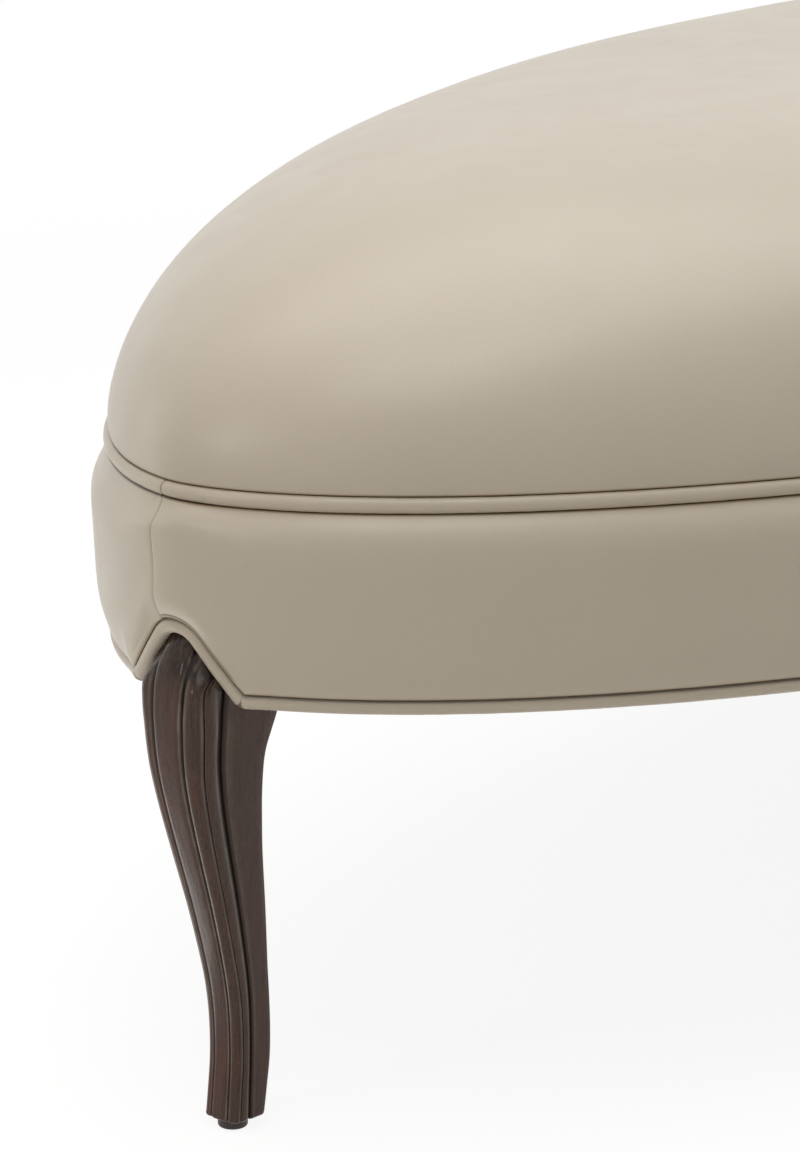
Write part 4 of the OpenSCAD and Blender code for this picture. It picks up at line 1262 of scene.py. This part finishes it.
class BENCH_OT_bands(bpy.types.Operator):
    """Make the two padded panels of the band, which meet in upright end seams"""
    bl_idname = "bench.bands"
    bl_label = "Bands"

    def execute(self, context):
        turn = settings("band").seam_turn
        material = bpy.data.materials["cover_satin"]
        spans = {"front": (-math.pi - turn, turn), "back": (turn, math.pi - turn)}
        for which, (first, last) in spans.items():
            piece = build_band("band_panel_" + which, first, last)
            finish_piece(piece, material, "band_" + which)
        return {"FINISHED"}


class BENCH_OT_welts(bpy.types.Operator):
    """Make the piping above and below the band, with its joints and mitres"""
    bl_idname = "bench.welts"
    bl_label = "Welts"

    def execute(self, context):
        material = cover_material("welt_satin", tuple(settings("colours").welt))
        tree = welt_tree()
        build_upper_welt(tree, material)
        build_lower_welt(tree, material)
        return {"FINISHED"}


class BENCH_OT_legs(bpy.types.Operator):
    """Make the four carved legs with their reeds, and the posts above them"""
    bl_idname = "bench.legs"
    bl_label = "Legs"

    def execute(self, context):
        material = leg_material()
        for which in ("left", "right", "front", "back"):
            finish_piece(build_leg(which), material, "leg_" + which)
        return {"FINISHED"}


class BENCH_OT_glides(bpy.types.Operator):
    """Make the round glides under the legs"""
    bl_idname = "bench.glides"
    bl_label = "Glides"

    def execute(self, context):
        material = glide_material()
        for which in ("left", "right", "front", "back"):
            finish_piece(build_glide(which), material, "glide_" + which)
        return {"FINISHED"}


# The number of staples, a crown's length and width, and how far the crowns lie
# inside the edge of the cloth
STAPLES, STAPLE_LONG, STAPLE_WIDE, STAPLE_INSET = 60, 10 * MM, 1.2 * MM, 6.5 * MM


class BENCH_OT_underside(bpy.types.Operator):
    """Make the cloth that closes the underside, and the staples that hold it"""
    bl_idname = "bench.underside"
    bl_label = "Underside"

    def execute(self, context):
        cloth, flat, area = build_dust_cover()
        finish_piece(cloth, dust_material(), "dust_cover")
        oval = Outline()
        (_, _, low), (_, _, high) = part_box("dust_cover_staples")
        inset = oval.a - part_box("dust_cover")[1][0] + STAPLE_INSET
        angles = [2 * math.pi * (i + 0.5) / STAPLES for i in range(STAPLES)]
        points = [oval.edge(t, -inset) + Vector((0, 0, (low + high) / 2)) for t in angles]
        turns = [math.atan2(oval.normal(t).y, oval.normal(t).x) for t in angles]
        row = path_object("staple_places", points, turn=turns)
        made = staple_tree().bake(row, "dust_cover_staple_row", Length=STAPLE_LONG,
                                  Width=STAPLE_WIDE, Thickness=high - low,
                                  Material=steel_material())
        finish_piece(made, None, "dust_cover_staples")
        return {"FINISHED"}


class BENCH_OT_inside(bpy.types.Operator):
    """Finish the frame, the deck and the padding inside the bench"""
    bl_idname = "bench.inside"
    bl_label = "Inside"

    def execute(self, context):
        finishes = {
            "frame_wood": plain_wood_material(), "foam": foam_material(),
            "wadding": fleece_material("polyester_wadding", (0.88, 0.88, 0.85), 160.0, 0.002),
            "hessian": woven_material("coarse_jute", (0.42, 0.3, 0.15), 900.0, 0.0006),
            "webbing": woven_material("elastic_webbing", (0.06, 0.05, 0.045), 1400.0, 0.0004,
                                      0.8, 9.0),
        }
        for slot, name in (("steel", "zinc_plated_steel"), ("glide", "glide_plastic"),
                           ("dark_wood", "dark_wood_lacquer"), ("upholstery", "cover_satin"),
                           ("welt", "welt_satin"), ("dust_cloth", "black_bonded_cloth")):
            finishes[slot] = bpy.data.materials[name]
        for row in frame["record"]["subparts"]:
            paint(frame["nodes"][row["node"]], finishes[row["material_slot"]])
        return {"FINISHED"}


class BENCH_OT_stage(bpy.types.Operator):
    """Set the camera, the lamps, the pale surroundings and the floor"""
    bl_idname = "bench.stage"
    bl_label = "Stage"

    def execute(self, context):
        s = settings("stage")
        make_floor(s.floor)
        make_world()
        make_lamps()
        make_camera(s)
        context.scene.view_settings.view_transform = "Standard"
        return {"FINISHED"}


def seen_directly(g):
    """1 for what the camera sees, itself or in metal and glass, 0 for other light."""
    path = g.node("ShaderNodeLightPath")
    value = path.outputs["Is Camera Ray"]
    for name in ("Is Glossy Ray", "Is Transmission Ray"):
        value = g.maths("MAXIMUM", value, path.outputs[name])
    return value


def mixed(g, factor, first, second):
    return g.node("ShaderNodeMixShader", {0: factor, 1: first, 2: second}).outputs[0]


def glowing(g, strength, kind="ShaderNodeEmission", tint=(1.0, 1.0, 1.0)):
    return g.node(kind, {"Color": tint, "Strength": strength}).outputs[0]


def make_floor(size):
    """A plain pale floor: it shows white, with the bench's faint shadow near it."""
    mesh = bpy.data.meshes.new("floor")
    h = size / 2
    mesh.from_pydata([(-h, -h, 0), (h, -h, 0), (h, h, 0), (-h, h, 0)], [], [(0, 1, 2, 3)])
    floor = add_object("floor", mesh)
    material = bpy.data.materials.new("floor_white")
    material.use_nodes = True
    g = Graph(material.node_tree)
    g.tree.nodes.clear()
    pale, shadowed = (g.node("ShaderNodeBsdfDiffuse", {"Color": rgb}).outputs[0]
                      for rgb in (FLOOR_COLOUR, (FLOOR_SHADOW,) * 3))
    near = g.node("ShaderNodeAddShader", {0: shadowed, 1: glowing(g, FLOOR_GLOW)}).outputs[0]
    place = g.node("ShaderNodeTexCoord").outputs["Object"]
    away = g.node("ShaderNodeVectorMath", {0: place}, operation="LENGTH").outputs["Value"]
    far = g.node("ShaderNodeMapRange",
                 {"Value": away, "From Min": FLOOR_FADE[0], "From Max": FLOOR_FADE[1]},
                 interpolation_type="SMOOTHSTEP").outputs[0]
    shown = mixed(g, far, near, glowing(g, 1.0))
    g.node("ShaderNodeOutputMaterial", {"Surface": mixed(g, seen_directly(g), pale, shown)})
    mesh.materials.append(material)


def make_world():
    world = bpy.data.worlds.new("pale_studio")
    bpy.context.scene.world = world
    world.use_nodes = True
    g = Graph(world.node_tree)
    g.tree.nodes.clear()
    dim = glowing(g, SKY_LIGHT, "ShaderNodeBackground", SKY_TINT)
    white = glowing(g, 1.0, "ShaderNodeBackground")
    g.node("ShaderNodeOutputWorld", {"Surface": mixed(g, seen_directly(g), dim, white)})


# How much of the floor's white is its own and how much is lit, where that fades to
# plain white in metres from the middle, and the light of the surroundings
FLOOR_GLOW, FLOOR_SHADOW, FLOOR_FADE, SKY_LIGHT = 0.9, 0.18, (1.2, 2.4), 0.19
FLOOR_COLOUR, SKY_TINT = (0.93, 0.91, 0.87), (1.0, 0.99, 0.965)
# Name, place, size in metres, power in watts and colour; all point at the end of the bench
LAMP_AIM = (-0.5, 0.0, 0.35)
LAMPS = (
    ("overhead_softbox", (-0.2, 0.0, 2.65), (2.4, 2.4), 33.5, (1.0, 0.99, 1.0)),
    ("upper_left_softbox", (-1.58, 1.18, 2.25), (1.6, 1.6), 4.2, (1.0, 0.975, 0.955)),
    ("left_softbox", (-2.7, 0.2, 1.15), (0.45, 0.45), 4.6, (1.0, 0.965, 0.925)),
    ("back_left_softbox", (-1.77, 1.61, 0.7), (0.8, 0.8), 0.35, (1.0, 0.97, 0.93)),
    ("front_softbox", (-1.56, -0.7, 2.3), (1.0, 1.0), 9.2, (1.0, 0.975, 0.93)),
    ("right_softbox", (0.99, -1.62, 1.25), (1.4, 1.4), 2.0, (1.0, 0.975, 0.93)),
)
# Two narrow lamps beside the left leg, one on the floor and one upright, that pick
# out its carving: name, place, turn in degrees, size in metres, power and colour
STRIPS = (
    ("floor_strip", (-0.936, 0.542, 0.01), (180, 0, 100), (0.9, 0.06), 0.4, (1.0, 0.975, 0.94)),
    ("upright_strip", (-1.04, 1.138, 0.36), (90, 0, 190), (0.09, 0.7), 0.6, (1.0, 0.975, 0.94)),
)
# What the middle of the picture shows, and the width of the camera's sensor in millimetres
CAMERA_AIM, SENSOR = (-0.6264, 0.0457, 0.2495), 36.0


def add_lamp(name, place, size, power, tint, turn):
    data = bpy.data.lights.new(name, "AREA")
    data.shape, data.energy, data.color = "RECTANGLE", power, tint
    data.size, data.size_y = size
    lamp = add_object(name, data)
    lamp.location, lamp.rotation_euler = place, turn
    lamp.visible_camera = False


def make_lamps():
    for name, place, size, power, tint in LAMPS:
        aim = (Vector(LAMP_AIM) - Vector(place)).to_track_quat("-Z", "Y").to_euler()
        add_lamp(name, place, size, power, tint, aim)
    for name, place, turn, size, power, tint in STRIPS:
        add_lamp(name, place, size, power, tint, [math.radians(a) for a in turn])


def make_camera(s):
    look = Vector((math.sin(s.yaw) * math.cos(s.pitch), math.cos(s.yaw) * math.cos(s.pitch),
                   -math.sin(s.pitch)))
    data = bpy.data.cameras.new("photo_camera")
    data.lens, data.sensor_width, data.sensor_fit = s.lens, SENSOR, "AUTO"
    data.clip_start, data.clip_end = 0.05, 60.0
    camera = add_object("photo_camera", data)
    camera.location = Vector(CAMERA_AIM) - look * s.distance
    camera.rotation_euler = look.to_track_quat("-Z", "Y").to_euler()
    bpy.context.scene.camera = camera


STEPS = (BENCH_OT_seat, BENCH_OT_bands, BENCH_OT_welts, BENCH_OT_legs, BENCH_OT_glides,
         BENCH_OT_underside, BENCH_OT_inside, BENCH_OT_stage)


class BENCH_PT_tools(bpy.types.Panel):
    """Lists the bench's sizes, colours and steps"""
    bl_idname = "BENCH_PT_tools"
    bl_label = "Oval bed bench"
    bl_space_type = "VIEW_3D"
    bl_region_type = "UI"
    bl_category = "Bench"

    def draw(self, context):
        for key, group in GROUPS.items():
            box = self.layout.box()
            box.label(text=key.replace("bench_", "").capitalize())
            for field in group.__annotations__:
                box.prop(getattr(context.scene, key), field)
        for step in STEPS:
            self.layout.operator(step.bl_idname, text=step.bl_label)


def register():
    for key, group in GROUPS.items():
        bpy.utils.register_class(group)
        setattr(bpy.types.Scene, key, PointerProperty(type=group))
    for step in STEPS:
        bpy.utils.register_class(step)
    bpy.utils.register_class(BENCH_PT_tools)


def unregister():
    bpy.utils.unregister_class(BENCH_PT_tools)
    for step in reversed(STEPS):
        bpy.utils.unregister_class(step)
    for key, group in GROUPS.items():
        delattr(bpy.types.Scene, key)
        bpy.utils.unregister_class(group)


def main():
    register()
    for step in STEPS:
        group, name = step.bl_idname.split(".")
        getattr(getattr(bpy.ops, group), name)()


if __name__ == "__main__":
    main()
